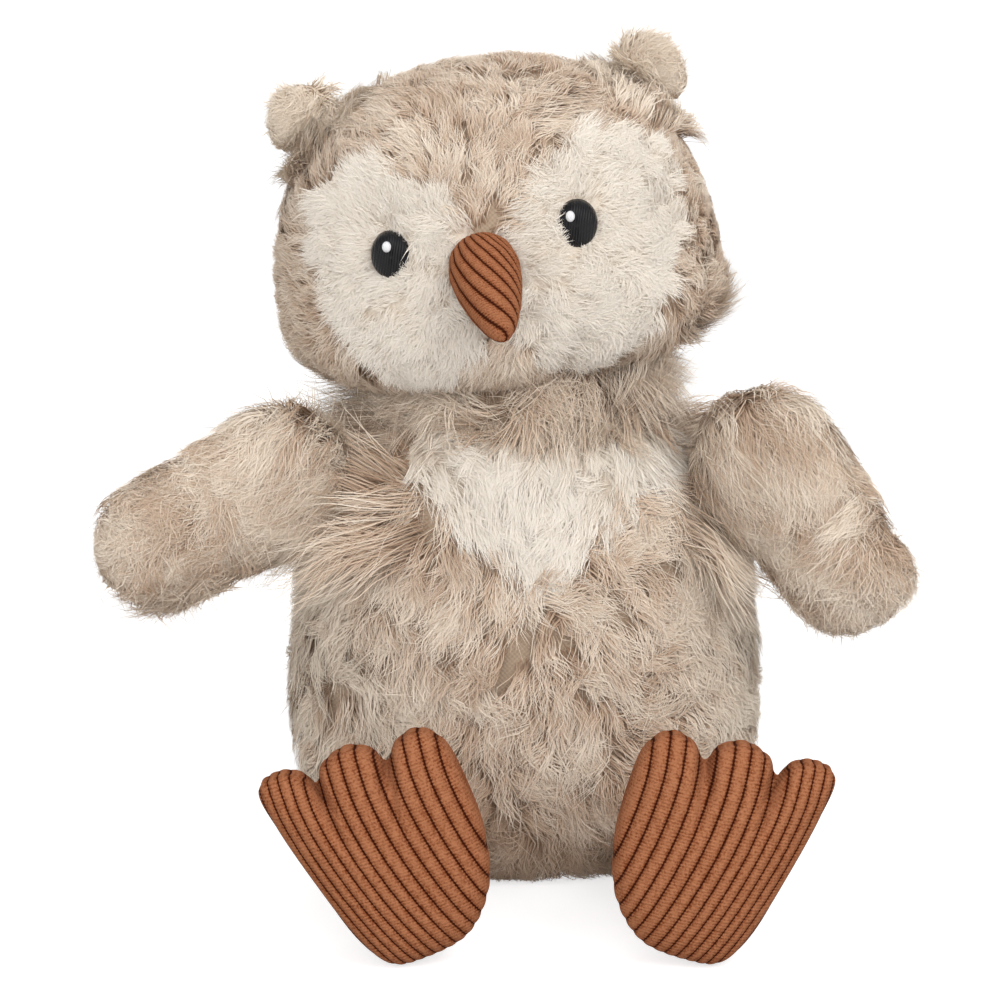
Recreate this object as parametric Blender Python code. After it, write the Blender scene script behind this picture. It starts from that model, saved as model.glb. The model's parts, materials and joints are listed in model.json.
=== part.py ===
"""A plush owl that sits on its flat seat. It faces -Y, +Z is up, the origin is the middle of the
seat on the floor, and every size is in metres.

Soft pieces are stuffed fabric: each skin is a thin wall with an opening, and its stuffing is a solid
of its own inside it. Pieces that touch keep GAP between them, and pieces that turn on each other
meet on spheres about their joint."""

import math

import bmesh
import bpy
import numpy as np
from mathutils import Matrix, Vector

# Fabrics, thread and clearance
FUR_FABRIC = 0.0025
CORD_FABRIC = 0.0014
GAP = 0.0003
THREAD_RADIUS = 0.0006
CUT_OVERRUN = 0.05

# Torso
TORSO_HALF_WIDTH = 0.059
TORSO_HALF_DEPTH = 0.050
TORSO_BACKWARD = 0.002
WAIST_HEIGHT = 0.052
SEAT_TUCK = 0.004
SHOULDER_RISE = 0.070
SHOULDER_TAPER_SHARE = 0.08
SHOULDER_POWER = 3.0
SEAT_POWER = 4.0
SEAT_PANEL_THICKNESS = 0.0025
BEAN_BAG_RADIUS = 0.024
BEAN_BAG_HEIGHT = 0.014

# Bib of pale fur on the chest
BIB_HALF_WIDTH = 0.034
BIB_HEIGHT = 0.031
BIB_TIP_HEIGHT = 0.081
BIB_SIDEWAYS = 0.004
BIB_OUTLINE_SHARES = (
    (0.06, 0.00), (0.38, 0.30), (0.78, 0.62), (1.00, 0.80), (0.92, 0.95), (0.50, 1.00),
    (0.00, 0.98), (-0.50, 1.00), (-0.92, 0.95), (-1.00, 0.80), (-0.80, 0.62), (-0.42, 0.28),
)

# Closing seam on the back, where the torso was stuffed
SEAM_LOW = 0.038
SEAM_LENGTH = 0.036
SEAM_HALF_WIDTH = 0.0018
SEAM_STITCHES = 9

# Neck
NECK_HEIGHT = 0.120
NECK_RADIUS = 0.026
NECK_THREAD_DEPTH = 0.0006

# Head, in its own frame about the neck
HEAD_LEAN = math.radians(8.0)
HEAD_TURN = math.radians(2.5)
HEAD_HALF_WIDTH = 0.0565
HEAD_HALF_DEPTH = 0.0470
HEAD_SIDEWAYS = -0.002
CHEEK_HEIGHT = 0.027
CHEEK_DROP = 0.0235
CROWN_RISE = 0.0565
CROWN_POWER = 2.3
CHIN_POWER = 2.8

# Face
FACE_LOBE_HALF_WIDTH = 0.0220
FACE_LOBE_HALF_HEIGHT = 0.0285
FACE_LOBE_SPREAD = 0.0245
FACE_LOBE_HEIGHT = 0.0385
FACE_LOBE_TILT = math.radians(20.0)
EYE_HALF_WIDTH = 0.0050
EYE_HALF_HEIGHT = 0.0060
EYE_BULGE = 0.0022
EYE_SPREAD = 0.0225
EYE_HEIGHTS = {"left": 0.0440, "right": 0.0455}
GLINT_HALF_WIDTH = 0.0011
GLINT_HALF_HEIGHT = 0.0013
GLINT_SIDEWAYS_SHARE = -0.20
GLINT_HEIGHT_SHARE = 0.45
BEAK_RADIUS = 0.0086
BEAK_LENGTH = 0.0305
BEAK_SIDEWAYS = -0.0040
BEAK_ROOT_HEIGHT = 0.0455
BEAK_ROOT_DEPTH = 0.0040
BEAK_DROOP = math.radians(46.0)
BEAK_SWERVE = math.radians(9.0)
BEAK_PROFILE_SHARES = (
    (0.04, 0.55), (0.14, 0.86), (0.30, 1.00), (0.50, 0.92), (0.70, 0.72), (0.88, 0.46), (0.97, 0.24),
)

# Ears
EAR_HALF_WIDTH = 0.0098
EAR_LENGTH = 0.0090
EAR_HALF_THICKNESS = 0.0036
EAR_SKEW_SHARE = 0.15
EAR_HEIGHT = 0.0702
EAR_BASE_CLEARANCE = 0.0006
EAR_OUTLINE_SHARES = (
    (1.00, 0.00), (1.02, 0.45), (0.92, 0.86), (0.55, 1.00), (0.00, 0.90), (-0.55, 1.00),
    (-0.92, 0.86), (-1.02, 0.45), (-1.00, 0.00), (-0.80, -0.20), (0.00, -0.24), (0.80, -0.20),
)

# Wings
WING_ROOT_RADIUS = 0.0190
WING_ROOT_HALF_THICKNESS = 0.0102
WING_TIP_RADIUS = 0.0147
WING_TIP_HALF_THICKNESS = 0.0085
WING_REACH = 0.0335
WING_YAW = math.radians(20.0)
WING_DROOPS = {"left": math.radians(22.5), "right": math.radians(51.6)}
SHOULDER_HEIGHTS = {"left": 0.1015, "right": 0.1060}
SHOULDER_FORWARD = 0.0120
WING_SWING_INSET = 0.0080
WING_SWING_FORWARD = math.radians(45.0)
WING_SWING_BACK = math.radians(-12.0)
WING_STITCH_SETBACK = 0.0022
WING_OPENING_RADIUS = 0.0030

# Legs
LEG_RADIUS = 0.0110
LEG_OPENING_RADIUS = 0.0060
HIP_SPREAD = 0.0330
HIP_FORWARD = 0.0434
HIP_HEIGHT = 0.0130
ANKLE_SPREADS = {"left": 0.0290, "right": 0.0395}
ANKLE_FORWARD = 0.0815
ANKLE_HEIGHT = 0.0150

# Feet
FOOT_LENGTH = 0.0540
FOOT_HALF_WIDTH = 0.0242
FOOT_CENTRE_SHARE = 0.48
SOLE_DEPTH = 0.0115
FOOT_BACK_DEPTH = 0.0105
FOOT_AHEAD = 0.0155
HEEL_INSETS = {"left": 0.0040, "right": 0.0006}
FOOT_SPLAYS = {"left": math.radians(19.0), "right": math.radians(13.0)}
FOOT_LEAN = math.radians(4.0)
FOOT_PUFF_POWER = 0.62
FOOT_OUTLINE_SHARES = (
    (0.00, 0.00), (0.30, 0.03), (0.52, 0.18), (0.72, 0.46), (0.90, 0.76), (0.95, 0.94), (0.74, 0.985),
    (0.53, 0.955), (0.40, 0.89), (0.28, 0.96), (0.02, 1.00), (-0.22, 0.955), (-0.33, 0.885),
    (-0.47, 0.95), (-0.72, 0.975), (-0.93, 0.88), (-1.01, 0.66), (-1.00, 0.42), (-0.86, 0.20),
    (-0.52, 0.04),
)

# Where the skins are open, or close on their pole, as a slope on their form
OPENING_SLOPE = math.radians(84.0)

# Roundness: points round a ring, and rings from pole to pole
TORSO_SIDES, TORSO_RINGS = 28, 11
HEAD_SIDES, HEAD_RINGS = 28, 11
NECK_SIDES = 24
WING_SIDES, WING_RINGS = 16, 5
LEG_SIDES, LEG_RINGS = 14, 4
FOOT_SIDES, FOOT_RINGS = 40, 4
EAR_SIDES, EAR_RINGS = 20, 3
BEAK_SIDES = 14
EYE_SIDES, EYE_RINGS = 14, 5
BALL_SIDES, BALL_RINGS = 24, 11
THREAD_SIDES = 5

SIDES = {"left": -1, "right": 1}

# Colours (linear) and roughness
FUR_TAN = (0.440, 0.340, 0.255)
FUR_CREAM = (0.680, 0.570, 0.450)
CORDUROY_RUST = (0.270, 0.095, 0.042)
FIBRE_WHITE = (0.800, 0.790, 0.760)
BAG_COTTON = (0.620, 0.590, 0.530)
THREAD_TAN = (0.330, 0.240, 0.170)
EYE_BLACK = (0.012, 0.011, 0.012)
GLINT_WHITE = (0.850, 0.850, 0.850)
SOFT_ROUGHNESS = 0.95
THREAD_ROUGHNESS = 0.60


def clear_scene():
    for item in list(bpy.data.objects):
        bpy.data.objects.remove(item, do_unlink=True)


def finish(name, colour, roughness):
    """The named material, made once: a Principled surface of one colour, with no metal in it."""
    made = bpy.data.materials.get(name)
    if made is None:
        made = bpy.data.materials.new(name)
        made.use_nodes = True
        surface = made.node_tree.nodes["Principled BSDF"]
        surface.inputs["Base Color"].default_value = (*colour, 1.0)
        surface.inputs["Roughness"].default_value = roughness
        surface.inputs["Metallic"].default_value = 0.0
        made.diffuse_color = (*colour, 1.0)
    return made


def empty(name, frame, parent=None):
    """An empty on a joint's axis. frame is its place in the world."""
    made = bpy.data.objects.new(name, None)
    bpy.context.scene.collection.objects.link(made)
    made.parent = parent
    made.matrix_basis = world_frame(parent).inverted() @ frame
    return made


def add(name, mesh_data, material, carrier, frame=None):
    """Links a mesh, written in the frame given (the carrier's own by default), under its carrier."""
    made = bpy.data.objects.new(name, mesh_data)
    bpy.context.scene.collection.objects.link(made)
    if frame is not None:
        mesh_data.transform(world_frame(carrier).inverted() @ frame)
    made.parent = carrier
    if material is None:
        made.hide_render = True
        made.display_type = "WIRE"
    else:
        mesh_data.materials.append(material)
        mesh_data.shade_smooth()
        mesh_data.set_sharp_from_angle(angle=math.radians(50.0))
    return made


def world_frame(item):
    frame = Matrix.Identity(4)
    while item is not None:
        frame = item.matrix_basis @ frame
        item = item.parent
    return frame


def combine(target, cutter, operation="DIFFERENCE"):
    modifier = target.modifiers.new(cutter.name, "BOOLEAN")
    modifier.operation = operation
    modifier.solver = "EXACT"
    modifier.object = cutter
    return target


def mesh_from(name, shape):
    """Writes a bmesh to a mesh, with its faces turned outwards."""
    bmesh.ops.recalc_face_normals(shape, faces=shape.faces)
    mesh_data = bpy.data.meshes.new(name)
    shape.to_mesh(mesh_data)
    shape.free()
    return mesh_data


def ringed_mesh(name, rings, first=None, last=None):
    """A closed surface through rings of equally many points. first and last are the points that close
    its two ends. With neither, the last ring joins the first, and the surface is a loop."""
    shape = bmesh.new()
    loops = [[shape.verts.new(point) for point in ring] for ring in rings]
    pairs = list(zip(loops, loops[1:]))
    if first is None:
        pairs.append((loops[-1], loops[0]))
    for below, above in pairs:
        for i in range(len(below)):
            j = (i + 1) % len(below)
            shape.faces.new((below[i], below[j], above[j], above[i]))
    if first is not None:
        for loop, end in ((loops[0], first), (loops[-1], last)):
            tip = shape.verts.new(end)
            for i in range(len(loop)):
                shape.faces.new((loop[i], loop[(i + 1) % len(loop)], tip))
    return mesh_from(name, shape)


def prism_mesh(name, outline, near, far):
    """The outline, given in X and Z, carried along Y from near to far."""
    rings = [[(x, y, z) for x, z in outline] for y in (near, far)]
    middle = np.mean(outline, axis=0)
    ends = [(middle[0], y, middle[1]) for y in (near, far)]
    return ringed_mesh(name, rings, *ends)


def turns(count):
    return np.linspace(0.0, math.tau, count, endpoint=False)


def ball_points(centre, radii, sides, rings):
    """Points on an ellipsoid, in level rings about its Y axis, with both its poles."""
    latitude = np.linspace(-math.pi / 2, math.pi / 2, rings + 2)[1:-1, None]
    around = turns(sides)[None, :]
    unit = np.stack([
        np.cos(latitude) * np.cos(around), np.sin(latitude) + 0 * around, np.cos(latitude) * np.sin(around)
    ], axis=-1)
    poles = np.array([[[0, -1, 0]], [[0, 1, 0]]])
    return unit * radii + centre, poles * radii + centre


def ball_mesh(name, centre, radii, sides=BALL_SIDES, rings=BALL_RINGS):
    centre, radii = np.array(centre, float), np.array(radii, float)
    body, poles = ball_points(centre, radii, sides, rings)
    return ringed_mesh(name, body, poles[0, 0], poles[1, 0])


def socket_mesh(name, centre, radius):
    """A ball whose flat faces, not only its corners, stay GAP clear of a ball of the radius given."""
    flats = math.cos(math.pi / BALL_SIDES) * math.cos(math.pi / (2 * BALL_RINGS + 2))
    return ball_mesh(name, centre, [(radius + GAP) / flats] * 3)


def hull_mesh(name, balls, sides, rings):
    """The skin that a cloth stretched over several ellipsoids takes: their convex hull."""
    shape = bmesh.new()
    for centre, radii in balls:
        body, poles = ball_points(np.array(centre, float), np.array(radii, float), sides, rings)
        for point in (*body.reshape(-1, 3), *poles.reshape(-1, 3)):
            shape.verts.new(point)
    found = bmesh.ops.convex_hull(shape, input=shape.verts)
    spare = {item for key in ("geom_interior", "geom_unused") for item in found[key]}
    spare = [item for item in spare if isinstance(item, bmesh.types.BMVert)]
    bmesh.ops.delete(shape, geom=spare, context="VERTS")
    return mesh_from(name, shape)


def ring_mesh(name, half_wide, half_high, sides):
    """A closed loop of thread: an ellipse in the plane square to X, with a round section."""
    around = turns(sides)
    section = turns(THREAD_SIDES)
    path = np.stack([0 * around, half_wide * np.cos(around), half_high * np.sin(around)], axis=-1)
    outward = np.stack([0 * around, np.cos(around), np.sin(around)], axis=-1)
    along = np.array([1.0, 0.0, 0.0])
    rings = [
        path[i] + THREAD_RADIUS * (np.cos(section)[:, None] * outward[i] + np.sin(section)[:, None] * along)
        for i in range(sides)
    ]
    return ringed_mesh(name, rings)


def smooth_outline(shares, wide, high, count):
    """A closed Catmull-Rom curve through the shares, evenly sampled, in real sizes."""
    knots = np.array(shares) * (wide, high)
    before, after, beyond = np.roll(knots, 1, 0), np.roll(knots, -1, 0), np.roll(knots, -2, 0)
    place = np.linspace(0.0, len(knots), count, endpoint=False)
    index = place.astype(int)
    t = (place - index)[:, None]
    a, b, c, d = before[index], knots[index], after[index], beyond[index]
    return 0.5 * (2 * b + (c - a) * t + (2 * a - 5 * b + 4 * c - d) * t**2 + (3 * b - a - 3 * c + d) * t**3)


class SoftForm:
    """A stuffed form whose level rings are ellipses. It is widest at its middle, and it closes above
    and below along superellipses whose powers say how square its shoulders are."""

    def __init__(self, middle, half_width, half_depth, rise, drop, rise_power, drop_power, taper_share):
        self.middle = np.array(middle, float)
        self.half_width, self.half_depth = half_width, half_depth
        self.rise, self.drop = rise, drop
        self.rise_power, self.drop_power = rise_power, drop_power
        self.taper_share = taper_share

    def end(self, height):
        """The reach and power of the half that a height, or each of many, lies in."""
        above = np.asarray(height) > 0
        return np.where(above, self.rise, self.drop), np.where(above, self.rise_power, self.drop_power)

    def level(self, height, grow=0.0):
        """The share of the full width at a height over the middle, for the form grown by grow."""
        reach, power = self.end(height)
        up = np.clip(np.abs(height) / (reach + grow), 0.0, 1.0)
        return (1.0 - up**power) ** (1.0 / power) * (1.0 - self.taper_share * up * (np.asarray(height) > 0))

    def slope_at(self, height, grow=0.0):
        reach, power = self.end(height)
        return math.copysign(math.asin(min(abs(height) / (reach + grow), 1.0) ** (power / 2)), height)

    def ring(self, slope, sides, grow=0.0):
        reach, power = self.end(slope)
        height = math.copysign(abs(math.sin(slope)) ** (2 / power) * (reach + grow), slope)
        share = self.level(height, grow)
        around = turns(sides)
        across = (self.half_width + grow) * share * np.cos(around)
        deep = (self.half_depth + grow) * share * np.sin(around)
        return self.middle + np.stack([across, deep, 0 * around + height], axis=-1)

    def rings(self, low, high, count, sides, grow=0.0):
        """Rings between two slopes. Their slopes don't depend on grow, so nested forms run parallel."""
        step = math.pi / (count + 1)
        regular = np.arange(1, count + 1) * step - math.pi / 2
        between = [slope for slope in regular if low + step / 3 < slope < high - step / 3]
        return [self.ring(slope, sides, grow) for slope in (low, *between, high)]

    def way_out(self, points, direction):
        """How far points have to move along a level direction until all of them are outside."""
        place = points - self.middle
        share = self.level(place[:, 2])
        place, share = place[share > 0], share[share > 0]
        wide, deep = self.half_width * share, self.half_depth * share
        a = (direction[0] / wide) ** 2 + (direction[1] / deep) ** 2
        b = place[:, 0] * direction[0] / wide**2 + place[:, 1] * direction[1] / deep**2
        c = (place[:, 0] / wide) ** 2 + (place[:, 1] / deep) ** 2 - 1.0
        inside = b**2 - a * c
        meets = inside > 0
        return np.max((np.sqrt(inside[meets]) - b[meets]) / a[meets])

    def pole(self, height):
        return self.middle + (0.0, 0.0, height)

    def front(self, x, height, grow=0.0):
        """How far forward of its middle plane the form reaches at a place on its face."""
        share = self.level(height, grow)
        across = min(abs(x) / ((self.half_width + grow) * share), 1.0)
        return (self.half_depth + grow) * share * math.sqrt(1.0 - across**2)


TORSO = SoftForm(
    (0.0, TORSO_BACKWARD, WAIST_HEIGHT), TORSO_HALF_WIDTH, TORSO_HALF_DEPTH, SHOULDER_RISE,
    WAIST_HEIGHT + SEAT_TUCK, SHOULDER_POWER, SEAT_POWER, SHOULDER_TAPER_SHARE,
)
HEAD = SoftForm(
    (HEAD_SIDEWAYS, 0.0, CHEEK_HEIGHT), HEAD_HALF_WIDTH, HEAD_HALF_DEPTH, CROWN_RISE, CHEEK_DROP,
    CROWN_POWER, CHIN_POWER, 0.0,
)
NECK_POINT = Vector((0.0, TORSO_BACKWARD, NECK_HEIGHT))


def torso_wall(name):
    """The torso's skin: a wall that is open at the seat and at the neck."""
    outer, inner = (
        TORSO.rings(TORSO.slope_at(-WAIST_HEIGHT, grow), OPENING_SLOPE, TORSO_RINGS, TORSO_SIDES, grow)
        for grow in (0.0, -FUR_FABRIC)
    )
    return ringed_mesh(name, outer + inner[::-1])


def build_torso(root, fur, cream, fibre, cotton, thread):
    neck_cut = add("neck_cut", socket_mesh("neck_cut", NECK_POINT, NECK_RADIUS), None, root)
    hip_cuts = [
        add(f"hip_cut_{side}", socket_mesh(f"hip_cut_{side}", hip_point(sign), LEG_RADIUS), None, root)
        for side, sign in SIDES.items()
    ]
    skin = add("torso_skin", torso_wall("torso_skin"), fur, root)
    bib = add("chest_bib", torso_wall("chest_bib"), cream, root)
    outline = smooth_outline(BIB_OUTLINE_SHARES, BIB_HALF_WIDTH, BIB_HEIGHT, len(BIB_OUTLINE_SHARES) * 3)
    outline = outline + (BIB_SIDEWAYS, BIB_TIP_HEIGHT)
    middle = outline.mean(axis=0)
    shrink = 1.0 - GAP / BIB_HALF_WIDTH
    far = -TORSO_HALF_DEPTH - CUT_OVERRUN
    hole = add("bib_hole", prism_mesh("bib_hole", outline, far, 0.0), None, root)
    inset = middle + (outline - middle) * shrink
    panel = add("bib_panel", prism_mesh("bib_panel", inset, far, 0.0), None, root)
    combine(skin, hole)
    combine(skin, neck_cut)
    for cut in hip_cuts:
        combine(skin, cut)
    combine(bib, panel, "INTERSECT")
    combine(bib, neck_cut)

    grow = -FUR_FABRIC - GAP
    seat_ring = TORSO.ring(TORSO.slope_at(-WAIST_HEIGHT, grow), TORSO_SIDES, grow)
    thickness = np.array((0.0, 0.0, SEAT_PANEL_THICKNESS))
    seat_middle = TORSO.pole(-WAIST_HEIGHT)
    add("seat_panel", ringed_mesh(
        "seat_panel", [seat_ring, seat_ring + thickness], seat_middle, seat_middle + thickness), fur, root)

    bag_floor = SEAT_PANEL_THICKNESS + GAP
    bag_place = (0.0, TORSO_BACKWARD, bag_floor)
    add("bean_bag", cushion_mesh("bean_bag", bag_place, BEAN_BAG_RADIUS, BEAN_BAG_HEIGHT), cotton, root)
    bag_cut = add("bean_bag_cut", cushion_mesh(
        "bean_bag_cut", (0.0, TORSO_BACKWARD, bag_floor - GAP),
        BEAN_BAG_RADIUS + GAP, BEAN_BAG_HEIGHT + 2 * GAP), None, root)

    low = bag_floor - WAIST_HEIGHT
    rings = TORSO.rings(TORSO.slope_at(low, grow), OPENING_SLOPE, TORSO_RINGS, TORSO_SIDES, grow)
    filling = add("torso_stuffing", ringed_mesh(
        "torso_stuffing", rings, TORSO.pole(low), TORSO.pole(SHOULDER_RISE + grow)), fibre, root)
    combine(filling, neck_cut)
    combine(filling, bag_cut)
    for cut in hip_cuts:
        combine(filling, cut)
    add("back_seam_thread", closing_seam_mesh("back_seam_thread"), thread, root)


def cushion_mesh(name, foot, radius, height):
    """A low round bag: flat beneath, with sides that bulge and a crown."""
    around = turns(TORSO_SIDES)
    flat = np.stack([np.cos(around), np.sin(around), 0 * around], axis=-1)
    profile_shares = ((0.86, 0.0), (0.97, 0.18), (1.00, 0.42), (0.95, 0.68), (0.78, 0.88), (0.42, 0.98))
    rings = [flat * radius * wide + foot + np.array((0.0, 0.0, height * up)) for wide, up in profile_shares]
    return ringed_mesh(name, rings, foot, np.array(foot) + (0.0, 0.0, height))


def closing_seam_mesh(name):
    """A ladder stitch: one thread that crosses the closing seam to and fro as it climbs the back."""
    stretch = np.linspace(0.0, 1.0, SEAM_STITCHES * 4 + 1)
    across = SEAM_HALF_WIDTH * np.sin(stretch * SEAM_STITCHES * math.pi)
    height = SEAM_LOW + SEAM_LENGTH * stretch - WAIST_HEIGHT
    proud = GAP + THREAD_RADIUS
    back = [TORSO_BACKWARD + TORSO.front(x, h, proud) for x, h in zip(across, height)]
    path = np.stack([across, back, height + WAIST_HEIGHT], axis=-1)
    return tube_mesh(name, path, np.array((0.0, 1.0, 0.0)))


def tube_mesh(name, path, normal):
    """A round thread along a path, with its section turned by the path and one fixed normal."""
    along = np.gradient(path, axis=0)
    along /= np.linalg.norm(along, axis=1, keepdims=True)
    side = np.cross(along, normal)
    side /= np.linalg.norm(side, axis=1, keepdims=True)
    out = np.cross(side, along)
    section = turns(THREAD_SIDES)
    rings = path[:, None] + THREAD_RADIUS * (
        np.cos(section)[None, :, None] * side[:, None] + np.sin(section)[None, :, None] * out[:, None]
    )
    return ringed_mesh(name, rings, path[0], path[-1])


def build_neck(root, fibre, thread):
    """The wad of fibre in the neck, and the gathering thread in the groove round it."""
    groove_radius = NECK_RADIUS - NECK_THREAD_DEPTH - THREAD_RADIUS
    wad_carrier = empty("neck_nod_axis", Matrix.Translation(NECK_POINT), root)
    wad = add("neck_stuffing", ball_mesh("neck_stuffing", (0, 0, 0), [NECK_RADIUS] * 3), fibre, wad_carrier)
    thread_carrier = empty("head_turn_axis", Matrix.Translation(NECK_POINT), wad_carrier)
    upright = Matrix.Rotation(math.pi / 2, 4, "Y")
    loop = ring_mesh("neck_thread", groove_radius, groove_radius, NECK_SIDES)
    loop.transform(upright)
    add("neck_thread", loop, thread, thread_carrier)
    inner, outer = groove_radius - THREAD_RADIUS - GAP, NECK_RADIUS + GAP
    half = THREAD_RADIUS + GAP
    around = turns(NECK_SIDES)
    flat = np.stack([np.cos(around), np.sin(around), 0 * around], axis=-1)
    rings = [
        flat * radius + np.array((0.0, 0.0, z))
        for radius, z in ((inner, -half), (outer, -half), (outer, half), (inner, half))
    ]
    combine(wad, add("neck_groove", ringed_mesh("neck_groove", rings), None, wad_carrier))
    return thread_carrier


def head_frame():
    lean = Matrix.Rotation(-HEAD_LEAN, 4, "Y")
    turn = Matrix.Rotation(-HEAD_TURN, 4, "Z")
    return Matrix.Translation(NECK_POINT) @ lean @ turn


def head_wall(name):
    """The head's skin: a wall that is open at the neck."""
    outer, inner = (
        HEAD.rings(-OPENING_SLOPE, OPENING_SLOPE, HEAD_RINGS, HEAD_SIDES, grow)
        for grow in (0.0, -FUR_FABRIC)
    )
    return ringed_mesh(name, outer[::-1] + inner, HEAD.pole(CROWN_RISE), HEAD.pole(CROWN_RISE - FUR_FABRIC))


def head_solid(name, grow):
    rings = HEAD.rings(-OPENING_SLOPE, OPENING_SLOPE, HEAD_RINGS, HEAD_SIDES, grow)
    return ringed_mesh(name, rings, HEAD.pole(-CHEEK_DROP - grow), HEAD.pole(CROWN_RISE + grow))


def lobe_outline(sign, grow):
    """An upright oval, leaning out at its top, for one half of the face."""
    around = turns(TORSO_SIDES)
    across = (FACE_LOBE_HALF_WIDTH + grow) * np.cos(around)
    high = (FACE_LOBE_HALF_HEIGHT + grow) * np.sin(around)
    lean = sign * FACE_LOBE_TILT
    x = across * math.cos(lean) + high * math.sin(lean) + HEAD_SIDEWAYS + sign * FACE_LOBE_SPREAD
    z = high * math.cos(lean) - across * math.sin(lean) + FACE_LOBE_HEIGHT
    return np.stack([x, z], axis=-1)


def box_mesh(name, low, high):
    corners = [(x, z) for x, z in ((low[0], low[2]), (high[0], low[2]), (high[0], high[2]), (low[0], high[2]))]
    return prism_mesh(name, corners, low[1], high[1])


def build_head(carrier, fur, cream, fibre):
    skin = add("head_skin", head_wall("head_skin"), fur, carrier)
    neck_cut = add("head_neck_cut", socket_mesh("head_neck_cut", (0, 0, 0), NECK_RADIUS), None, carrier)
    far = -HEAD_HALF_DEPTH - CUT_OVERRUN
    middle = HEAD_SIDEWAYS
    for side, sign in SIDES.items():
        hole = add(f"face_hole_{side}", prism_mesh(f"face_hole_{side}", lobe_outline(sign, GAP), far, 0.0),
                   None, carrier)
        combine(skin, hole)
    combine(skin, neck_cut)
    for side, sign in SIDES.items():
        name = f"face_panel_{side}"
        panel = add(name, head_wall(name), cream, carrier)
        outline = prism_mesh(f"face_outline_{side}", lobe_outline(sign, 0.0), far, 0.0)
        combine(panel, add(f"face_outline_{side}", outline, None, carrier), "INTERSECT")
        edges = sorted((middle + sign * GAP / 2, middle + sign * (HEAD_HALF_WIDTH + CUT_OVERRUN)))
        half = box_mesh(f"face_half_{side}", (edges[0], far, -CUT_OVERRUN),
                        (edges[1], 0.0, CHEEK_HEIGHT + CROWN_RISE + CUT_OVERRUN))
        combine(panel, add(f"face_half_{side}", half, None, carrier), "INTERSECT")
        combine(panel, neck_cut)
    filling = add("head_stuffing", head_solid("head_stuffing", -FUR_FABRIC - GAP), fibre, carrier)
    combine(filling, neck_cut)


def build_eyes(carrier, black, white):
    """Two domes of satin stitch, each with a white glint, laid on the face panels."""
    face = add("face_under_eyes", head_solid("face_under_eyes", GAP), None, carrier)
    for side, sign in SIDES.items():
        x = HEAD_SIDEWAYS + sign * EYE_SPREAD
        height = EYE_HEIGHTS[side]
        y = -HEAD.front(x - HEAD_SIDEWAYS, height - CHEEK_HEIGHT)
        radii = (EYE_HALF_WIDTH, EYE_BULGE + GAP, EYE_HALF_HEIGHT)
        name = f"eye_{side}"
        eye = add(name, ball_mesh(name, (x, y, height), radii, EYE_SIDES, EYE_RINGS), black, carrier)
        combine(eye, face)
        glint_x = GLINT_SIDEWAYS_SHARE * EYE_HALF_WIDTH
        glint_z = GLINT_HEIGHT_SHARE * EYE_HALF_HEIGHT
        dome = math.sqrt(1.0 - GLINT_SIDEWAYS_SHARE**2 - GLINT_HEIGHT_SHARE**2)
        place = (x + glint_x, y - (EYE_BULGE + GAP) * dome, height + glint_z)
        glint_radii = (GLINT_HALF_WIDTH, EYE_BULGE / 2, GLINT_HALF_HEIGHT)
        glint = add(f"eye_glint_{side}", ball_mesh(
            f"eye_glint_{side}", place, glint_radii, EYE_SIDES // 2, EYE_RINGS - 2), white, carrier)
        grown = [radius + GAP for radius in radii]
        combine(glint, add(f"eye_dome_{side}", ball_mesh(
            f"eye_dome_{side}", (x, y, height), grown, EYE_SIDES, EYE_RINGS), None, carrier))
    return face


def beak_rings(grow):
    """Rings of a drop about a straight line from the face, down and forwards to the beak's tip."""
    face = HEAD.front(BEAK_SIDEWAYS - HEAD_SIDEWAYS, BEAK_ROOT_HEIGHT - CHEEK_HEIGHT)
    root = np.array((BEAK_SIDEWAYS, BEAK_ROOT_DEPTH - face, BEAK_ROOT_HEIGHT))
    along = np.array((math.sin(BEAK_SWERVE), -math.cos(BEAK_DROOP), -math.sin(BEAK_DROOP)))
    along /= np.linalg.norm(along)
    side = np.cross(along, (0.0, 0.0, 1.0))
    side /= np.linalg.norm(side)
    over = np.cross(side, along)
    around = turns(BEAK_SIDES)[:, None]
    start, end = root - along * grow, root + along * (BEAK_LENGTH + grow)
    rings = [
        start + (end - start) * far + (BEAK_RADIUS * wide + grow) * (
            np.cos(around) * side + np.sin(around) * over)
        for far, wide in BEAK_PROFILE_SHARES
    ]
    return rings, start, end


def build_beak(carrier, face, corduroy, fibre):
    shell = add("beak_shell", ringed_mesh("beak_shell", *beak_rings(0.0)), corduroy, carrier)
    hollow = ringed_mesh("beak_hollow", *beak_rings(-CORD_FABRIC))
    combine(shell, add("beak_hollow", hollow, None, carrier))
    combine(shell, face)
    filling = add("beak_stuffing", ringed_mesh("beak_stuffing", *beak_rings(-CORD_FABRIC - GAP)),
                  fibre, carrier)
    combine(filling, face)


def ear_half(name, sign, forward):
    """The front or back fabric of an ear: half of a flat pillow, split at its seam. Its tip leans in
    towards the crown."""
    outline = smooth_outline(EAR_OUTLINE_SHARES, EAR_HALF_WIDTH, EAR_LENGTH, EAR_SIDES)
    outline[:, 0] -= sign * EAR_SKEW_SHARE * np.maximum(outline[:, 1], 0.0)
    middle = outline.mean(axis=0)
    seam = forward * GAP / 2
    rings = []
    for k in range(EAR_RINGS):
        slope = math.pi / 2 * k / EAR_RINGS
        flat = middle + (outline - middle) * math.cos(slope)
        y = seam + forward * (EAR_HALF_THICKNESS - GAP / 2) * math.sin(slope)
        rings.append([(x, y, z) for x, z in flat])
    return ringed_mesh(name, rings, (middle[0], seam, middle[1]),
                       (middle[0], forward * EAR_HALF_THICKNESS, middle[1]))


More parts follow.
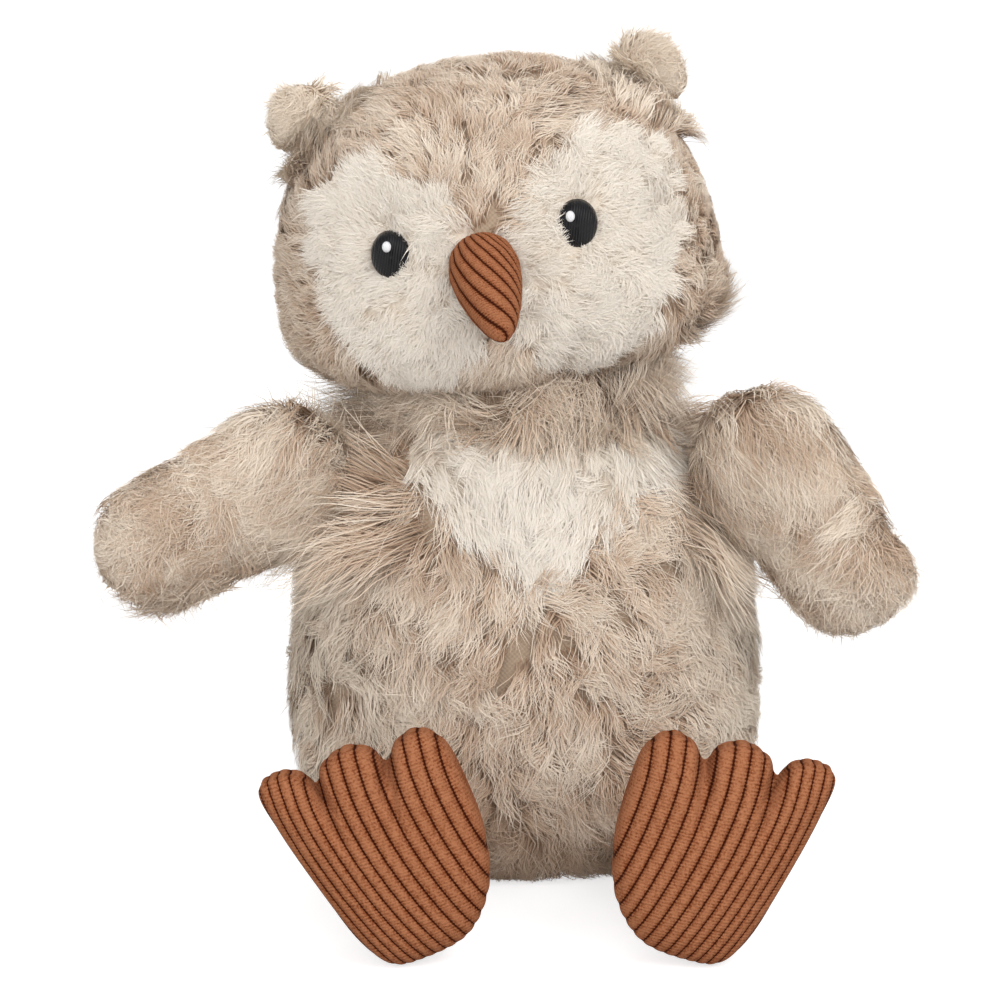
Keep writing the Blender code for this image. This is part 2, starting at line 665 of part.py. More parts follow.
def build_ears(carrier, fur):
    """Each ear stands square to the head's outline, and bends about a line just off its base."""
    up = (EAR_HEIGHT - CHEEK_HEIGHT) / CROWN_RISE
    level = HEAD.level(EAR_HEIGHT - CHEEK_HEIGHT)
    power = CROWN_POWER - 1.0
    splay = math.atan2(level**power / HEAD_HALF_WIDTH, up**power / CROWN_RISE)
    base = -min(z for _, z in EAR_OUTLINE_SHARES) * EAR_LENGTH + EAR_BASE_CLEARANCE
    for side, sign in SIDES.items():
        foot = Vector((HEAD_SIDEWAYS + sign * HEAD_HALF_WIDTH * level, 0.0, EAR_HEIGHT))
        outward = Vector((sign * math.sin(splay), 0.0, math.cos(splay)))
        place = Matrix.Translation(foot + outward * base) @ Matrix.Rotation(sign * splay, 4, "Y")
        axis = empty(f"ear_{side}_axis", head_frame() @ place, carrier)
        for face, forward in (("front", -1), ("back", 1)):
            name = f"ear_{side}_{face}"
            add(name, ear_half(name, sign, forward), fur, axis)


def stitch_loop(name, sign):
    """The loop of thread round a wing's root, just clear of the fabric."""
    inset = WING_ROOT_RADIUS - WING_STITCH_SETBACK
    chord_share = math.sqrt(1.0 - ((inset - THREAD_RADIUS) / WING_ROOT_RADIUS) ** 2)
    clear = GAP + THREAD_RADIUS
    loop = ring_mesh(name, WING_ROOT_HALF_THICKNESS * chord_share + clear,
                     WING_ROOT_RADIUS * chord_share + clear, WING_SIDES)
    loop.transform(Matrix.Translation((-sign * inset, 0.0, 0.0)))
    return loop


def wing_frame(side, sign):
    """The wing's own frame: origin at its lift axis, +X level along its yaw, Y its thickness. The wing
    stands out until its root and stitches clear the torso, also as far as it swings to and fro."""
    yaw = Matrix.Rotation(-sign * WING_YAW, 4, "Z")
    start = Vector((sign * WING_ROOT_RADIUS, -SHOULDER_FORWARD, SHOULDER_HEIGHTS[side]))
    body, poles = ball_points(
        np.zeros(3), np.array((WING_ROOT_RADIUS, WING_ROOT_HALF_THICKNESS, WING_ROOT_RADIUS)),
        WING_SIDES * 2, WING_RINGS * 2)
    loop = stitch_loop("wing_stitch_trial", sign)
    touching = np.concatenate([body.reshape(-1, 3), [list(corner.co) for corner in loop.vertices]])
    bpy.data.meshes.remove(loop)
    pivot = np.array((-sign * WING_SWING_INSET, 0.0, 0.0))
    outward = np.array(yaw @ Vector((sign, 0.0, 0.0)))
    ways = []
    for swing in (WING_SWING_BACK, 0.0, WING_SWING_FORWARD / 2, WING_SWING_FORWARD):
        turn = np.array((yaw @ Matrix.Rotation(-sign * swing, 4, "Z")).to_3x3())
        moved = (touching - pivot) @ turn.T + np.array(yaw.to_3x3()) @ pivot + np.array(start)
        ways.append(TORSO.way_out(moved, outward))
    return Matrix.Translation(start + Vector(outward * (max(ways) + GAP))) @ yaw


def wing_balls(side, sign, grow):
    droop = WING_DROOPS[side]
    tip = (sign * WING_REACH * math.cos(droop), 0.0, -WING_REACH * math.sin(droop))
    root_radii = (WING_ROOT_RADIUS + grow, WING_ROOT_HALF_THICKNESS + grow, WING_ROOT_RADIUS + grow)
    tip_radii = (WING_TIP_RADIUS + grow, WING_TIP_HALF_THICKNESS + grow, WING_TIP_RADIUS + grow)
    return ((0.0, 0.0, 0.0), root_radii), (tip, tip_radii)


def build_wings(root, fur, fibre, thread):
    """Each wing swings on an axis inside its root, and lifts about the middle of its round root."""
    for side, sign in SIDES.items():
        frame = wing_frame(side, sign)
        pivot = Matrix.Translation((-sign * WING_SWING_INSET, 0.0, 0.0))
        swing_axis = empty(f"wing_{side}_swing_axis", frame @ pivot, root)
        lift_axis = empty(f"wing_{side}_lift_axis", frame, swing_axis)
        add(f"wing_{side}_stitches", stitch_loop(f"wing_{side}_stitches", sign), thread, swing_axis, frame)

        skin = add(f"wing_{side}_skin", hull_mesh(
            f"wing_{side}_skin", wing_balls(side, sign, 0.0), WING_SIDES, WING_RINGS), fur, lift_axis)
        hollow = add(f"wing_{side}_hollow", hull_mesh(
            f"wing_{side}_hollow", wing_balls(side, sign, -FUR_FABRIC), WING_SIDES, WING_RINGS),
            None, lift_axis)
        combine(skin, hollow)
        around = turns(NECK_SIDES // 2)
        mouth = [
            [(x, WING_OPENING_RADIUS * math.cos(a), WING_OPENING_RADIUS * math.sin(a)) for a in around]
            for x in (-sign * (WING_ROOT_RADIUS + CUT_OVERRUN), 0.0)
        ]
        ends = ((mouth[0][0][0], 0.0, 0.0), (0.0, 0.0, 0.0))
        opening = add(f"wing_{side}_opening", ringed_mesh(f"wing_{side}_opening", mouth, *ends),
                      None, lift_axis)
        combine(skin, opening)
        add(f"wing_{side}_stuffing", hull_mesh(
            f"wing_{side}_stuffing", wing_balls(side, sign, -FUR_FABRIC - GAP), WING_SIDES, WING_RINGS),
            fibre, lift_axis)


def hip_point(sign):
    return Vector((sign * HIP_SPREAD, -HIP_FORWARD, HIP_HEIGHT))


def ankle_point(side, sign):
    return Vector((sign * ANKLE_SPREADS[side], -ANKLE_FORWARD, ANKLE_HEIGHT))


def build_legs(root, corduroy, fibre, thread):
    """Each leg is a short stuffed tube with round ends, one in the torso and one in the foot."""
    ankles = {}
    for side, sign in SIDES.items():
        hip, ankle = hip_point(sign), ankle_point(side, sign)
        lift_axis = empty(f"leg_{side}_lift_axis", Matrix.Translation(hip), root)
        reach = ankle - hip

        def tube(name, grow):
            radii = [LEG_RADIUS + grow] * 3
            return hull_mesh(name, (((0, 0, 0), radii), (reach, radii)), LEG_SIDES, LEG_RINGS)

        skin = add(f"leg_{side}_skin", tube(f"leg_{side}_skin", 0.0), corduroy, lift_axis)
        combine(skin, add(f"leg_{side}_hollow", tube(f"leg_{side}_hollow", -CORD_FABRIC), None, lift_axis))
        facing = reach.to_track_quat("X", "Z").to_matrix().to_4x4()
        around = turns(LEG_SIDES)
        bore = [
            [(x, LEG_OPENING_RADIUS * math.cos(a), LEG_OPENING_RADIUS * math.sin(a)) for a in around]
            for x in (-CUT_OVERRUN, reach.length + CUT_OVERRUN)
        ]
        bore_mesh = ringed_mesh(f"leg_{side}_bore", bore, (-CUT_OVERRUN, 0.0, 0.0),
                                (reach.length + CUT_OVERRUN, 0.0, 0.0))
        bore_mesh.transform(facing)
        combine(skin, add(f"leg_{side}_bore", bore_mesh, None, lift_axis))
        add(f"leg_{side}_stuffing", tube(f"leg_{side}_stuffing", -CORD_FABRIC - GAP), fibre, lift_axis)

        turn_axis = empty(f"foot_{side}_turn_axis", Matrix.Translation(ankle), lift_axis)
        loop_radius = LEG_RADIUS + GAP + THREAD_RADIUS
        loop = ring_mesh(f"ankle_{side}_stitches", loop_radius, loop_radius, LEG_SIDES)
        loop.transform(facing)
        add(f"ankle_{side}_stitches", loop, thread, turn_axis)
        ankles[side] = empty(f"foot_{side}_flex_axis", Matrix.Translation(ankle), turn_axis)
    return ankles


def foot_rings(sign, forward, grow):
    """Rings of one half of a foot, from its seam in to its middle: the outline shrinks towards its
    middle as the fabric puffs out from the seam."""
    outline = smooth_outline(FOOT_OUTLINE_SHARES, sign * FOOT_HALF_WIDTH, FOOT_LENGTH, FOOT_SIDES)
    middle = np.array((0.0, FOOT_LENGTH * FOOT_CENTRE_SHARE))
    depth = (SOLE_DEPTH if forward < 0 else FOOT_BACK_DEPTH) + grow
    shrink = 1.0 + grow / FOOT_HALF_WIDTH
    rings = []
    for k in range(FOOT_RINGS):
        slope = math.pi / 2 * k / FOOT_RINGS
        flat = middle + (outline - middle) * shrink * math.cos(slope)
        y = forward * depth * math.sin(slope) ** FOOT_PUFF_POWER
        rings.append(np.array([(x, y, z) for x, z in flat]))
    return rings, np.array((middle[0], forward * depth, middle[1]))


def foot_wall(name, sign, forward):
    """One fabric of a foot: a shallow bowl that ends at the seam."""
    seam = (0.0, forward * GAP / 2, 0.0)
    outer, outer_end = foot_rings(sign, forward, 0.0)
    inner, inner_end = foot_rings(sign, forward, -CORD_FABRIC)
    rings = [ring + seam for ring in outer[::-1] + inner]
    return ringed_mesh(name, rings, outer_end + seam, inner_end + seam)


def build_feet(ankles, corduroy, fibre):
    for side, sign in SIDES.items():
        carrier = ankles[side]
        turned = Matrix.Rotation(sign * FOOT_SPLAYS[side], 4, "Y") @ Matrix.Rotation(-FOOT_LEAN, 4, "X")
        outline = foot_rings(sign, -1, 0.0)[0]
        lowest = min((turned @ Vector(point)).z for ring in outline for point in ring)
        heel = ankle_point(side, sign) - Vector((sign * HEEL_INSETS[side], FOOT_AHEAD, ANKLE_HEIGHT))
        place = Matrix.Translation(heel + Vector((0.0, 0.0, GAP - lowest)))
        frame = place @ turned
        cut = add(f"ankle_cut_{side}", socket_mesh(f"ankle_cut_{side}", (0, 0, 0), LEG_RADIUS), None, carrier)
        add(f"foot_{side}_sole", foot_wall(f"foot_{side}_sole", sign, -1), corduroy, carrier, frame)
        back = add(f"foot_{side}_back", foot_wall(f"foot_{side}_back", sign, 1), corduroy, carrier, frame)
        combine(back, cut)
        front_rings, front_end = foot_rings(sign, -1, -CORD_FABRIC - GAP)
        back_rings, back_end = foot_rings(sign, 1, -CORD_FABRIC - GAP)
        filling = add(f"foot_{side}_stuffing", ringed_mesh(
            f"foot_{side}_stuffing", front_rings[::-1] + back_rings[1:], front_end, back_end),
            fibre, carrier, frame)
        combine(filling, cut)


def main():
    clear_scene()
    fur = finish("tan fur", FUR_TAN, SOFT_ROUGHNESS)
    cream = finish("cream fur", FUR_CREAM, SOFT_ROUGHNESS)
    corduroy = finish("rust corduroy", CORDUROY_RUST, SOFT_ROUGHNESS)
    fibre = finish("polyester fibre", FIBRE_WHITE, SOFT_ROUGHNESS)
    cotton = finish("bag cotton", BAG_COTTON, SOFT_ROUGHNESS)
    thread = finish("tan thread", THREAD_TAN, THREAD_ROUGHNESS)
    black = finish("black embroidery", EYE_BLACK, THREAD_ROUGHNESS)
    white = finish("white embroidery", GLINT_WHITE, THREAD_ROUGHNESS)

    root = empty("owl", Matrix.Identity(4))
    build_torso(root, fur, cream, fibre, cotton, thread)
    gather = build_neck(root, fibre, thread)
    head = empty("head_tilt_axis", head_frame(), gather)
    build_head(head, fur, cream, fibre)
    face = build_eyes(head, black, white)
    build_beak(head, face, corduroy, fibre)
    build_ears(head, fur)
    build_wings(root, fur, fibre, thread)
    ankles = build_legs(root, corduroy, fibre, thread)
    build_feet(ankles, corduroy, fibre)


main()
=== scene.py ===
"""The looks of a plush owl: its fur, corduroy, embroidery, stage and camera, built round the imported
frame. Metres throughout; the owl faces -Y and +Z is up."""

import json
import math

import bmesh
import bpy
import numpy as np
from mathutils import Matrix, Vector


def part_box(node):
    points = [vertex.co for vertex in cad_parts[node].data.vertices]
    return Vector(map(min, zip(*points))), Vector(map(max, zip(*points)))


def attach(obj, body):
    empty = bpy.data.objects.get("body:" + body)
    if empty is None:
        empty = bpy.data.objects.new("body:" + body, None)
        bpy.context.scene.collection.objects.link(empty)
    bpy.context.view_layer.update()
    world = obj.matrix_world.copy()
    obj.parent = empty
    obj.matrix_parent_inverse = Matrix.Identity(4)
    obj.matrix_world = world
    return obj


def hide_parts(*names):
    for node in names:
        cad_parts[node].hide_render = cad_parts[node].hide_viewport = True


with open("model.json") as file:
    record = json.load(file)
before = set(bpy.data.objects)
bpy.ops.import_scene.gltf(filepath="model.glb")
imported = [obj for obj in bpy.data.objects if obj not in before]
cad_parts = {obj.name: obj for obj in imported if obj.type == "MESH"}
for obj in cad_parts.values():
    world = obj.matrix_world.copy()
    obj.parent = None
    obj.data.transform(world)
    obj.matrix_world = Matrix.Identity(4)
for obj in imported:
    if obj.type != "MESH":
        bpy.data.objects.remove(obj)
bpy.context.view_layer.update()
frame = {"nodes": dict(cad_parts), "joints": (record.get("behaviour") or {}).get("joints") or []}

SIDES = {"left": -1, "right": 1}
JOINTS = {joint["name"]: joint for joint in frame["joints"]}

# How deep the backing of the fur lies inside the solids, which stand at the middle of the pile, and
# how much higher it stands under the cream fur
BACKING_DEPTH, CREAM_RISE = 0.0018, 0.0010

# Torso, and what its fur keeps clear of
TORSO_MIDDLE = (0.0, 0.002, 0.052)
TORSO_HALF_WIDTH, TORSO_HALF_DEPTH = 0.059, 0.050
TORSO_RISE, TORSO_DROP = 0.070, 0.056
TORSO_POWERS, TORSO_TAPER_SHARE = (3.0, 4.0), 0.08
TORSO_FLOOR, SEAT_CLEAR, HIP_CLEAR = 0.0006, 0.0018, 0.0115

# Shoulders: where their long fur starts, beside the bib, beside its right corner, below and behind
SHOULDER_INSIDE, SHOULDER_BY_CORNER, BIB_CORNER_TOP = 0.026, 0.035, 0.118
SHOULDER_BOTTOM, SHOULDER_BACK = 0.086, 0.020

# Neck
NECK_POINT = Vector(JOINTS["head_turn"]["pos_m"])
NECK_HALVES, NECK_ENDS, NECK_POWERS = (0.034, 0.031), (0.013, 0.013), (2.2, 2.2)
NECK_BAND, NECK_CLEAR = 0.010, 0.020

# Head, in its own frame about the neck
HEAD_LEAN, HEAD_TURN = math.radians(8.0), math.radians(2.5)
HEAD_MIDDLE = (-0.002, 0.0, 0.027)
HEAD_HALF_WIDTH, HEAD_HALF_DEPTH = 0.0565, 0.0470
HEAD_RISE, HEAD_DROP = 0.0565, 0.0235
HEAD_POWERS = (2.3, 2.8)

# Face, in the head's frame: two tilted lobes of cream fur
LOBE_HALF_WIDTHS, LOBE_HALF_HEIGHT = {"left": 0.0190, "right": 0.0205}, 0.0280
LOBE_SPREADS, LOBE_HEIGHT, LOBE_TILT = {"left": 0.0218, "right": 0.0245}, 0.0385, math.radians(20.0)
FACE_EDGE_DRIFT, FACE_EDGE_WAVE = 0.0012, 0.009

# The cheek whose fur hangs out, as it lies at rest
JOWL, JOWL_REACH = (0.044, -0.012, 0.131), 0.017

# Eyes, and how far round them the fur is shorter
EYE_HALF_WIDTH, EYE_HALF_HEIGHT = 0.0050, 0.0060
EYE_MARGIN, EYE_FUR_REACH, EYE_COMB_REACH = 0.0003, 0.010, 0.009
EYE_THREADS, GLINT_THREADS, GLINT_SWELL = 15, 6, (1.1, 1.15)

# Beak: its root in the head's frame, how it points, its ribs, and its width along its length
BEAK_ROOT = (-0.0040, -0.0424, 0.0455)
BEAK_DROOP, BEAK_SWERVE = math.radians(46.0), math.radians(9.0)
BEAK_LENGTH, BEAK_RADIUS = 0.0305, 0.0086
BEAK_SEAM, BEAK_SPREAD, BEAK_PITCH, BEAK_RIB_HEIGHT = math.radians(-150.0), 0.18, 0.00135, 0.00045
BEAK_PROFILE_SHARES = (
    (0.0, 0.0), (0.04, 0.55), (0.14, 0.86), (0.30, 1.0), (0.5, 0.92), (0.7, 0.72), (0.88, 0.46),
    (0.97, 0.24), (1.0, 0.0),
)

# Wings, about their lift axes: a flattened ball at the root, another at the tip, and the skin between
WING_ROOT_RADIUS, WING_TIP_RADIUS, WING_REACH = 0.0190, 0.0147, 0.0335
WING_ROOT_FLATNESS, WING_TIP_FLATNESS = 0.537, 0.578
WING_YAW = math.radians(20.0)
WING_DROOPS = {"left": math.radians(22.5), "right": math.radians(51.6)}
WING_FULL_EDGES = {"left": -1, "right": 1}

# Ears, about their flex axes, and the fur of the head that they grow out of
EAR_HALF_WIDTH, EAR_HALF_THICKNESS = 0.0100, 0.0036
EAR_RISE, EAR_SINK, EAR_CENTRE = 0.0062, 0.0048, 0.0038
EAR_POWERS = (2.6, 7.0)
EAR_ROOT_REACH, EAR_ROOT_STRETCHES = 0.0155, {"left": 1.6, "right": 1.15}
EAR_FUR_REACH = 0.012

# Legs
LEG_RADIUS, LEG_RIBS = 0.0110, 19

# Feet
FOOT_LENGTH, FOOT_HALF_WIDTH = 0.0540, 0.0242
SOLE_DEPTH, FOOT_BACK_DEPTH = 0.0115, 0.0105
FOOT_AHEAD, FOOT_CLEARANCE = 0.0155, 0.0003
HEEL_INSETS = {"left": 0.0040, "right": 0.0006}
FOOT_SPLAYS = {"left": math.radians(19.0), "right": math.radians(13.0)}
FOOT_LEAN = math.radians(4.0)
FOOT_CENTRE_SHARE = 0.48
FOOT_PUFF_POWER = 0.62
FOOT_OUTLINE_SHARES = (
    (0.00, 0.00), (0.30, 0.03), (0.52, 0.18), (0.72, 0.46), (0.90, 0.76), (0.95, 0.94), (0.74, 0.985),
    (0.53, 0.955), (0.40, 0.89), (0.28, 0.96), (0.02, 1.00), (-0.22, 0.955), (-0.33, 0.885),
    (-0.47, 0.95), (-0.72, 0.975), (-0.93, 0.88), (-1.01, 0.66), (-1.00, 0.42), (-0.86, 0.20),
    (-0.52, 0.04),
)

# The creases between the toes: where each starts across the foot, and how much it tilts
CREASE_SHARES = ((0.39, 0.16), (-0.335, -0.12))
CREASE_DEPTH, CREASE_HALF_WIDTH = 0.0046, 0.0017

# Corduroy: its ribs, how far they lean aside at the heel, how they open out across the foot and
# towards the toes, and how much they notch its edge
CORD_PITCH, CORD_HEIGHT, CORD_FLATNESS = 0.0037, 0.00075, 0.6
CORD_START, CORD_HEEL_SHIFT, CORD_OPENING = 20.5, -0.0120, 13.0
CORD_HEEL_SHARE, CORD_TOE_SHARE, CORD_EDGE_NOTCH = 0.88, 0.17, 0.026

# Bib
BIB_HALF_WIDTH, BIB_HEIGHT, BIB_TIP_HEIGHT, BIB_SIDEWAYS = 0.034, 0.031, 0.081, 0.004
BIB_OUTLINE_SHARES = (
    (0.06, 0.00), (0.38, 0.30), (0.78, 0.62), (1.00, 0.80), (0.92, 0.95), (0.50, 1.00),
    (0.00, 0.98), (-0.50, 1.00), (-0.92, 0.95), (-1.00, 0.80), (-0.80, 0.62), (-0.42, 0.28),
)

# What one piece of fur holds at most
MOST_HAIRS, MOST_TRIANGLES = 36000, 198000

# Every look keeps BACK_SHARE of those on the back, and makes them wider and their hairs thicker by
# BACK_COARSENESS
QUICK_SHARE = 1.0
BACK_SHARE, BACK_COARSENESS = 0.60, 0.50

# Guard hairs, next to the pile that they stand in
GUARD_LENGTH_SHARE, GUARD_WIDTH_SHARE, GUARD_HUG_SHARE = 1.2, 0.6, 0.6

# Camera: where it looks from, what it looks at, and how wide it sees
VIEW_TARGET = Vector((-0.0058, -0.0200, 0.0945))
VIEW_ELEVATION = math.radians(13.0)
VIEW_DISTANCE = 1.05
PIXELS_PER_METRE, IMAGE_WIDTH = 4000.0, 1004.0
SENSOR_WIDTH_MM = 36.0

# Colours (linear)
FUR_ROOT, FUR_BODY, FUR_TIP = (0.300, 0.190, 0.120), (0.600, 0.445, 0.325), (0.820, 0.720, 0.600)
CREAM_ROOT, CREAM_BODY, CREAM_TIP = (0.720, 0.610, 0.500), (0.835, 0.750, 0.645), (0.880, 0.825, 0.745)
# The groove colour is painted shade in the grooves; the worn colour is for the paler rib tops, partly real
# wear and partly painted light
RUST_GROOVE_SHADE, RUST_RIB, RUST_WORN_AND_LIT = (0.040, 0.007, 0.002), (0.165, 0.040, 0.012), (0.385, 0.155, 0.074)
EYE_BLACK, EYE_SHEEN = (0.002, 0.002, 0.0025), (0.010, 0.010, 0.012)
GLINT_SHADE, GLINT_WHITE = (0.750, 0.750, 0.770), (0.930, 0.930, 0.940)
BACKING_TAN, BACKING_CREAM = (0.500, 0.370, 0.260), (0.780, 0.680, 0.570)
THREAD_TAN, FIBRE_WHITE, BAG_COTTON = (0.330, 0.240, 0.170), (0.800, 0.790, 0.760), (0.620, 0.590, 0.530)

# Stage and light
STAGE_GREY, STAGE_GLOW, WORLD_LIGHT = (0.6, 0.6, 0.6), 0.70, 0.40
STAGE_FRONT, STAGE_BEND, STAGE_BACK, STAGE_TOP, STAGE_HALF_WIDTH = -1.6, 0.9, 1.4, 2.6, 2.4


def unit(vectors):
    return vectors / np.maximum(np.linalg.norm(vectors, axis=-1, keepdims=True), 1e-12)


def turned(vectors, matrix):
    """Vectors carried by the rotation of a 4 by 4 matrix."""
    return vectors @ np.array(matrix.to_3x3()).T


def placed(points, matrix):
    """Points carried by the rotation and the shift of a 4 by 4 matrix."""
    return turned(points, matrix) + np.array(matrix.translation)


def ramp(value, low, high):
    """0 below low, 1 above high, and a straight rise between."""
    return np.clip((value - low) / (high - low), 0.0, 1.0)


def bell(point, middle, reach):
    """1 at the middle, falling with the distance from it as exp(-(distance / reach)^2)."""
    return np.exp(-(np.linalg.norm(point - np.array(middle), axis=-1) / reach) ** 2)


def tangents(ways):
    """Two unit vectors that lie square to each direction and to each other."""
    helper = np.where(np.abs(ways[..., 2:3]) < 0.9, np.array((0.0, 0.0, 1.0)), np.array((1.0, 0.0, 0.0)))
    a = unit(np.cross(helper, ways))
    return a, np.cross(ways, a)


class Value:
    """A shader socket that adds, multiplies and compares as a number does."""

    def __init__(self, tree, socket):
        self.tree, self.socket = tree, socket

    def maths(self, operation, *values):
        node = self.tree.nodes.new("ShaderNodeMath")
        node.operation = operation
        for socket, value in zip(node.inputs, values):
            connect(self.tree, socket, value)
        return Value(self.tree, node.outputs[0])

    def __add__(self, other):
        return self.maths("ADD", self, other)

    def __radd__(self, other):
        return self.maths("ADD", other, self)

    def __sub__(self, other):
        return self.maths("SUBTRACT", self, other)

    def __rsub__(self, other):
        return self.maths("SUBTRACT", other, self)

    def __mul__(self, other):
        return self.maths("MULTIPLY", self, other)

    def __rmul__(self, other):
        return self.maths("MULTIPLY", other, self)

    def sine(self):
        return self.maths("SINE", self)

    def size(self):
        return self.maths("ABSOLUTE", self)


def connect(tree, socket, value):
    if isinstance(value, Value):
        tree.links.new(value.socket, socket)
    elif isinstance(value, tuple) and len(value) == 3 and socket.type == "RGBA":
        socket.default_value = (*value, 1.0)
    else:
        socket.default_value = value


class Finish:
    """A material with one Principled surface. Its nodes are written as expressions on values."""

    def __init__(self, name, **fixed):
        self.material = bpy.data.materials.new(name)
        self.material.use_nodes = True
        self.tree = self.material.node_tree
        self.surface = self.tree.nodes["Principled BSDF"]
        self.set(**fixed)

    def set(self, **values):
        for name, value in values.items():
            connect(self.tree, self.surface.inputs[name.replace("_", " ")], value)

    def node(self, kind, settings, sockets, output=0):
        """A node of one kind: its settings are made first, then its sockets get values or links."""
        node = self.tree.nodes.new("ShaderNode" + kind)
        for name, value in settings.items():
            setattr(node, name, value)
        for name, value in sockets.items():
            connect(self.tree, node.inputs[name], value)
        return Value(self.tree, node.outputs[output])

    def mix(self, factor, low, high):
        """A colour between two, each a colour or a socket."""
        return self.node("Mix", {"data_type": "RGBA"}, {0: factor, 6: low, 7: high}, output=2)

    def parts(self, vector):
        """The three coordinates of a vector."""
        node = self.node("SeparateXYZ", {}, {0: vector}).socket.node
        return [Value(self.tree, socket) for socket in node.outputs]

    def ease(self, value, low, high):
        """0 below low, 1 above high, and a smooth rise between."""
        return self.node("MapRange", {"interpolation_type": "SMOOTHSTEP"}, {0: value, 1: low, 2: high})

    def place(self):
        return self.node("TexCoord", {}, {}, output="Object")

    def uv(self, name):
        """The coordinates of a UV map: the first, the second and zero."""
        return self.parts(self.node("UVMap", {"uv_map": name}, {}))

    def noise(self, scale, detail=2.0, **sockets):
        sockets = {"Vector": self.place(), "Scale": scale, "Detail": detail, **sockets}
        return self.node("TexNoise", {}, sockets)

    def bump(self, height, strength, distance):
        sockets = {"Height": height, "Strength": strength, "Distance": distance}
        self.set(Normal=self.node("Bump", {}, sockets))


def fur_finish(name, root, body, tip):
    """The palette of a pile. The first coordinate of each hair says how pale it is, the second runs from
    its root to its tip."""
    made = Finish(name, Roughness=0.75, Specular_IOR_Level=0.25)
    pale, along, _ = made.uv("OFBake")
    low = made.mix(made.ease(along, 0.02, 0.55), root, body)
    shade = made.mix(made.ease(along, 0.45, 1.0), low, tip)
    dark = made.mix(made.ease(along, 0.05, 0.95), root, body)
    bright = made.mix(made.ease(along, 0.0, 0.5), body, tip)
    lower = made.mix(made.ease(pale, 0.0, 0.5), dark, shade)
    made.set(Base_Color=made.mix(made.ease(pale, 0.5, 1.0), lower, bright))
    return made.material


def backing_finish(name, colour):
    """Knitted backing cloth: a fine crossed grain over a soft mottle."""
    made = Finish(name, Roughness=0.95)
    x, _, z = made.parts(made.place())
    grain = (x * 5200.0).sine() * (z * 5200.0).sine() * 0.5 + 0.5
    mottle = made.noise(160.0)
    pale = made.node("Attribute", {"attribute_name": "pale"}, {}, output=2)
    base = made.mix(pale, colour, BACKING_CREAM)
    shades = (tuple(share * dim for share in light) for light, dim in ((colour, 0.6), (BACKING_CREAM, 0.85)))
    dark = made.mix(pale, *shades)
    made.set(Base_Color=made.mix(mottle * 0.6 + grain * 0.4 - 0.2, dark, base))
    made.bump(grain, 0.4, 0.0003)
    return made.material


def cord_finish(name, thread=0.00080, grain=1.0, edge=0.36):
    """Corduroy. The map's first coordinate counts ribs, its second is the length along them in metres:
    grooves darkened by painted shade and crossed by ground threads, and ribs whose tops are paler, partly
    from wear and partly from painted light."""
    made = Finish(name, Roughness=0.9, Specular_IOR_Level=0.05)
    count, along, _ = made.uv("cord")
    rib = (count * math.pi).sine().size()
    tooth = (along * (math.tau / thread)).sine() * 0.5 + 0.5
    pile = made.noise(1900.0 * grain, 4.0)
    fibre = made.noise(700.0 * grain, 5.0, Roughness=0.75, Distortion=1.0)
    patch = made.noise(90.0)
    # Painted shade: the grooves, and the soft fall into them, darken towards the groove colour
    groove_shade = made.ease(rib + tooth * 0.14 - 0.07 + (pile - 0.5) * 0.22, 0.08, edge)
    # The rib term is painted light on the rib tops; the patch, pile and fibre terms are real wear and fibre
    wear_and_rib_light = rib * 0.50 + tooth * 0.22 + patch * 0.25 + (pile - 0.5) * 1.6 + (fibre - 0.5) * 1.2
    colour = made.mix(made.ease(wear_and_rib_light, 0.0, 1.0), RUST_RIB, RUST_WORN_AND_LIT)
    made.set(Base_Color=made.mix(groove_shade, RUST_GROOVE_SHADE, colour))
    made.bump(pile * 0.6 + fibre * 0.5 + tooth * 0.25, 0.8, 0.0005)
    return made.material


def satin_finish(name, low, high, roughness, shine):
    """Satin stitch: threads side by side, each with a painted highlight along its top."""
    made = Finish(name, Roughness=roughness, Specular_IOR_Level=shine)
    count, along, _ = made.uv("cord")
    ridge = (count * math.pi).sine().size()
    twist = (along * 9000.0 + count * 4.0).sine() * 0.5 + 0.5
    # The ridge term paints a highlight along each thread's top; the twist and noise terms vary the thread's
    # own tone
    made.set(Base_Color=made.mix(ridge * 0.5 + twist * 0.3 + made.noise(900.0) * 0.3 - 0.15, low, high))
    made.bump(ridge + twist * 0.2, 0.5, 0.0002)
    return made.material


def spun_finish(name, colour, roughness, scale, contrast):
    """Thread, fibre or plain cotton: fine strands of light and shade on one colour."""
    made = Finish(name, Roughness=roughness)
    strand = made.noise(scale, 4.0, Roughness=0.7, Distortion=1.5)
    dark = tuple(share * contrast for share in colour)
    made.set(Base_Color=made.mix(made.ease(strand, 0.3, 0.7), dark, colour))
    made.bump(strand, 0.5, 0.0004)
    return made.material


